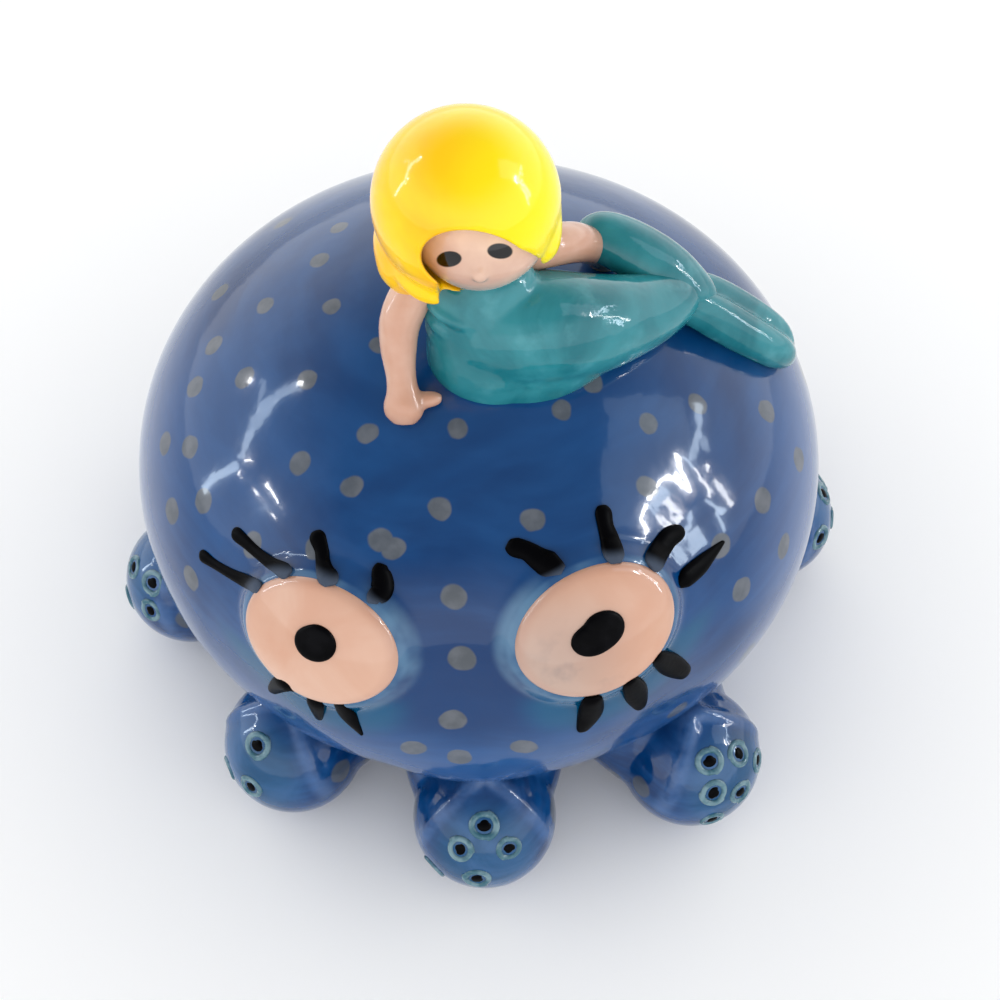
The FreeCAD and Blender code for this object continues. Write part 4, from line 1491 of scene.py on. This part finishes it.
class OCTOPUS_OT_mermaid_arms(bpy.types.Operator):
    """Models the mermaid's two arms with their hands"""

    bl_idname = "octopus.mermaid_arms"
    bl_label = "Mermaid's arms"

    def execute(self, context):
        skin = skin_glaze(context.scene.octopus_colours)
        across = Vector((0, 1, 0.6))
        near = [limb(NEAR_ARM, 20, across), limb(NEAR_THUMB, 16, UP)]
        far = [limb(FAR_ARM, 20, across)]
        for name, forms in (("mermaid_arm_near", near), ("mermaid_arm_far", far)):
            arm = join(name, forms)
            model_clay(arm, FINE_GRAIN, smoothing=8)
            finish_piece(arm, name, skin)
        return {"FINISHED"}


class OCTOPUS_OT_stage(bpy.types.Operator):
    """Sets the pale floor, the soft lights and the camera"""

    bl_idname = "octopus.stage"
    bl_label = "Stage"

    def execute(self, context):
        self.lay_floor(context)
        context.scene.world = self.room()
        for number, streak in enumerate(STREAKS):
            self.hang_lamp(context, f"window {number + 1}", *streak)
        context.scene.camera = self.stand_camera(context)
        context.scene.view_settings.view_transform = "Standard"
        return {"FINISHED"}

    def lay_floor(self, context):
        """A pale matt floor that holds the figurine's shadow."""
        bpy.ops.object.select_all(action="DESELECT")
        bpy.ops.mesh.primitive_plane_add(size=FLOOR_SIZE)
        floor = context.active_object
        floor.name = "floor"
        paper = bpy.data.materials.new("Pale floor")
        paper.use_nodes = True
        shader = paper.node_tree.nodes["Principled BSDF"]
        shader.inputs["Base Color"].default_value = FLOOR_COLOUR
        shader.inputs["Roughness"].default_value = 0.9
        floor.data.materials.append(paper)

    def room(self):
        """A world with bright walls and a dimmer ceiling."""
        world = bpy.data.worlds.new("Pale room with a dimmer ceiling")
        world.use_nodes = True
        tree = world.node_tree
        background = tree.nodes["Background"]
        background.inputs["Color"].default_value = ROOM_COLOUR
        place = tree.nodes.new("ShaderNodeTexCoord")
        split = tree.nodes.new("ShaderNodeSeparateXYZ")
        dimmer = tree.nodes.new("ShaderNodeMapRange")
        lights = (CEILING_LOW, CEILING_HIGH, WALL_LIGHT, CEILING_LIGHT)
        for socket, value in zip(list(dimmer.inputs)[1:5], lights):
            socket.default_value = value
        tree.links.new(place.outputs["Generated"], split.inputs[0])
        tree.links.new(split.outputs["Z"], dimmer.inputs["Value"])
        tree.links.new(dimmer.outputs[0], background.inputs["Strength"])
        return world

    def hang_lamp(self, context, name, from_x, from_y, to_x, to_y, width, bright):
        """A narrow lamp, seen only in the gloss, whose mirrored streak joins two pixels."""
        ends = []
        for across, down in ((from_x, from_y), (to_x, to_y)):
            place = seen_point(across, down)
            outward = outward_at(place)
            _, direction = sight(across, down)
            ends.append(place + (direction - outward * (2 * direction.dot(outward))) * STREAK_FAR)
        middle = (ends[0] + ends[1]) / 2
        back = (middle - seen_point((from_x + to_x) / 2, (from_y + to_y) / 2)).normalized()
        along = ends[1] - ends[0]
        across = (along - back * along.dot(back)).normalized()
        light = bpy.data.lights.new(name, "AREA")
        light.shape = "RECTANGLE"
        light.color = SKY_COLOUR if bright < GLARE_FROM else (1, 1, 1)
        light.size = along.length * MM
        light.size_y = width
        light.energy = bright * math.pi * light.size * light.size_y
        lamp = bpy.data.objects.new(name, light)
        lamp.matrix_world = standing(middle, (across, back.cross(across), back))
        lamp.visible_diffuse = False
        context.collection.objects.link(lamp)

    def stand_camera(self, context):
        """The camera that takes the photograph's view."""
        camera = bpy.data.cameras.new("Photograph's camera")
        camera.sensor_width = 36
        camera.lens = PHOTO_FOCAL / PHOTO_SIZE * camera.sensor_width
        camera.shift_x = (PHOTO_SIZE / 2 - PHOTO_CENTRE[0]) / PHOTO_SIZE
        camera.shift_y = (PHOTO_CENTRE[1] - PHOTO_SIZE / 2) / PHOTO_SIZE
        camera.clip_start = 0.01
        stand = bpy.data.objects.new("Photograph's camera", camera)
        eye, right, up, back = camera_place()
        stand.matrix_world = standing(eye, (right, up, back))
        context.collection.objects.link(stand)
        return stand


class OCTOPUS_PT_panel(bpy.types.Panel):
    """Lists the figurine's pieces"""

    bl_idname = "OCTOPUS_PT_panel"
    bl_label = "Octopus figurine"
    bl_space_type = "VIEW_3D"
    bl_region_type = "UI"
    bl_category = "Octopus"

    def draw(self, context):
        for operator in OPERATORS:
            self.layout.operator(operator.bl_idname)
        for settings in (context.scene.octopus_sizes, context.scene.octopus_colours):
            for name in settings.__annotations__:
                self.layout.prop(settings, name)


OPERATORS = (
    OCTOPUS_OT_head,
    OCTOPUS_OT_eyes,
    OCTOPUS_OT_lashes,
    OCTOPUS_OT_arms,
    OCTOPUS_OT_suckers,
    OCTOPUS_OT_mermaid_body,
    OCTOPUS_OT_mermaid_head,
    OCTOPUS_OT_mermaid_arms,
    OCTOPUS_OT_stage,
)
CLASSES = (OctopusColours, OctopusSizes, *OPERATORS, OCTOPUS_PT_panel)


def register():
    """Registers the classes and the scene's settings."""
    for made in CLASSES:
        bpy.utils.register_class(made)
    bpy.types.Scene.octopus_colours = bpy.props.PointerProperty(type=OctopusColours)
    bpy.types.Scene.octopus_sizes = bpy.props.PointerProperty(type=OctopusSizes)


def unregister():
    """Takes the settings and the classes away again."""
    del bpy.types.Scene.octopus_sizes
    del bpy.types.Scene.octopus_colours
    for made in reversed(CLASSES):
        bpy.utils.unregister_class(made)


def main():
    """Makes every piece and the stage."""
    register()
    bpy.ops.octopus.head()
    bpy.ops.octopus.eyes()
    bpy.ops.octopus.lashes()
    bpy.ops.octopus.arms()
    bpy.ops.octopus.suckers()
    bpy.ops.octopus.mermaid_body()
    bpy.ops.octopus.mermaid_head()
    bpy.ops.octopus.mermaid_arms()
    bpy.ops.octopus.stage()


if __name__ == "__main__":
    main()
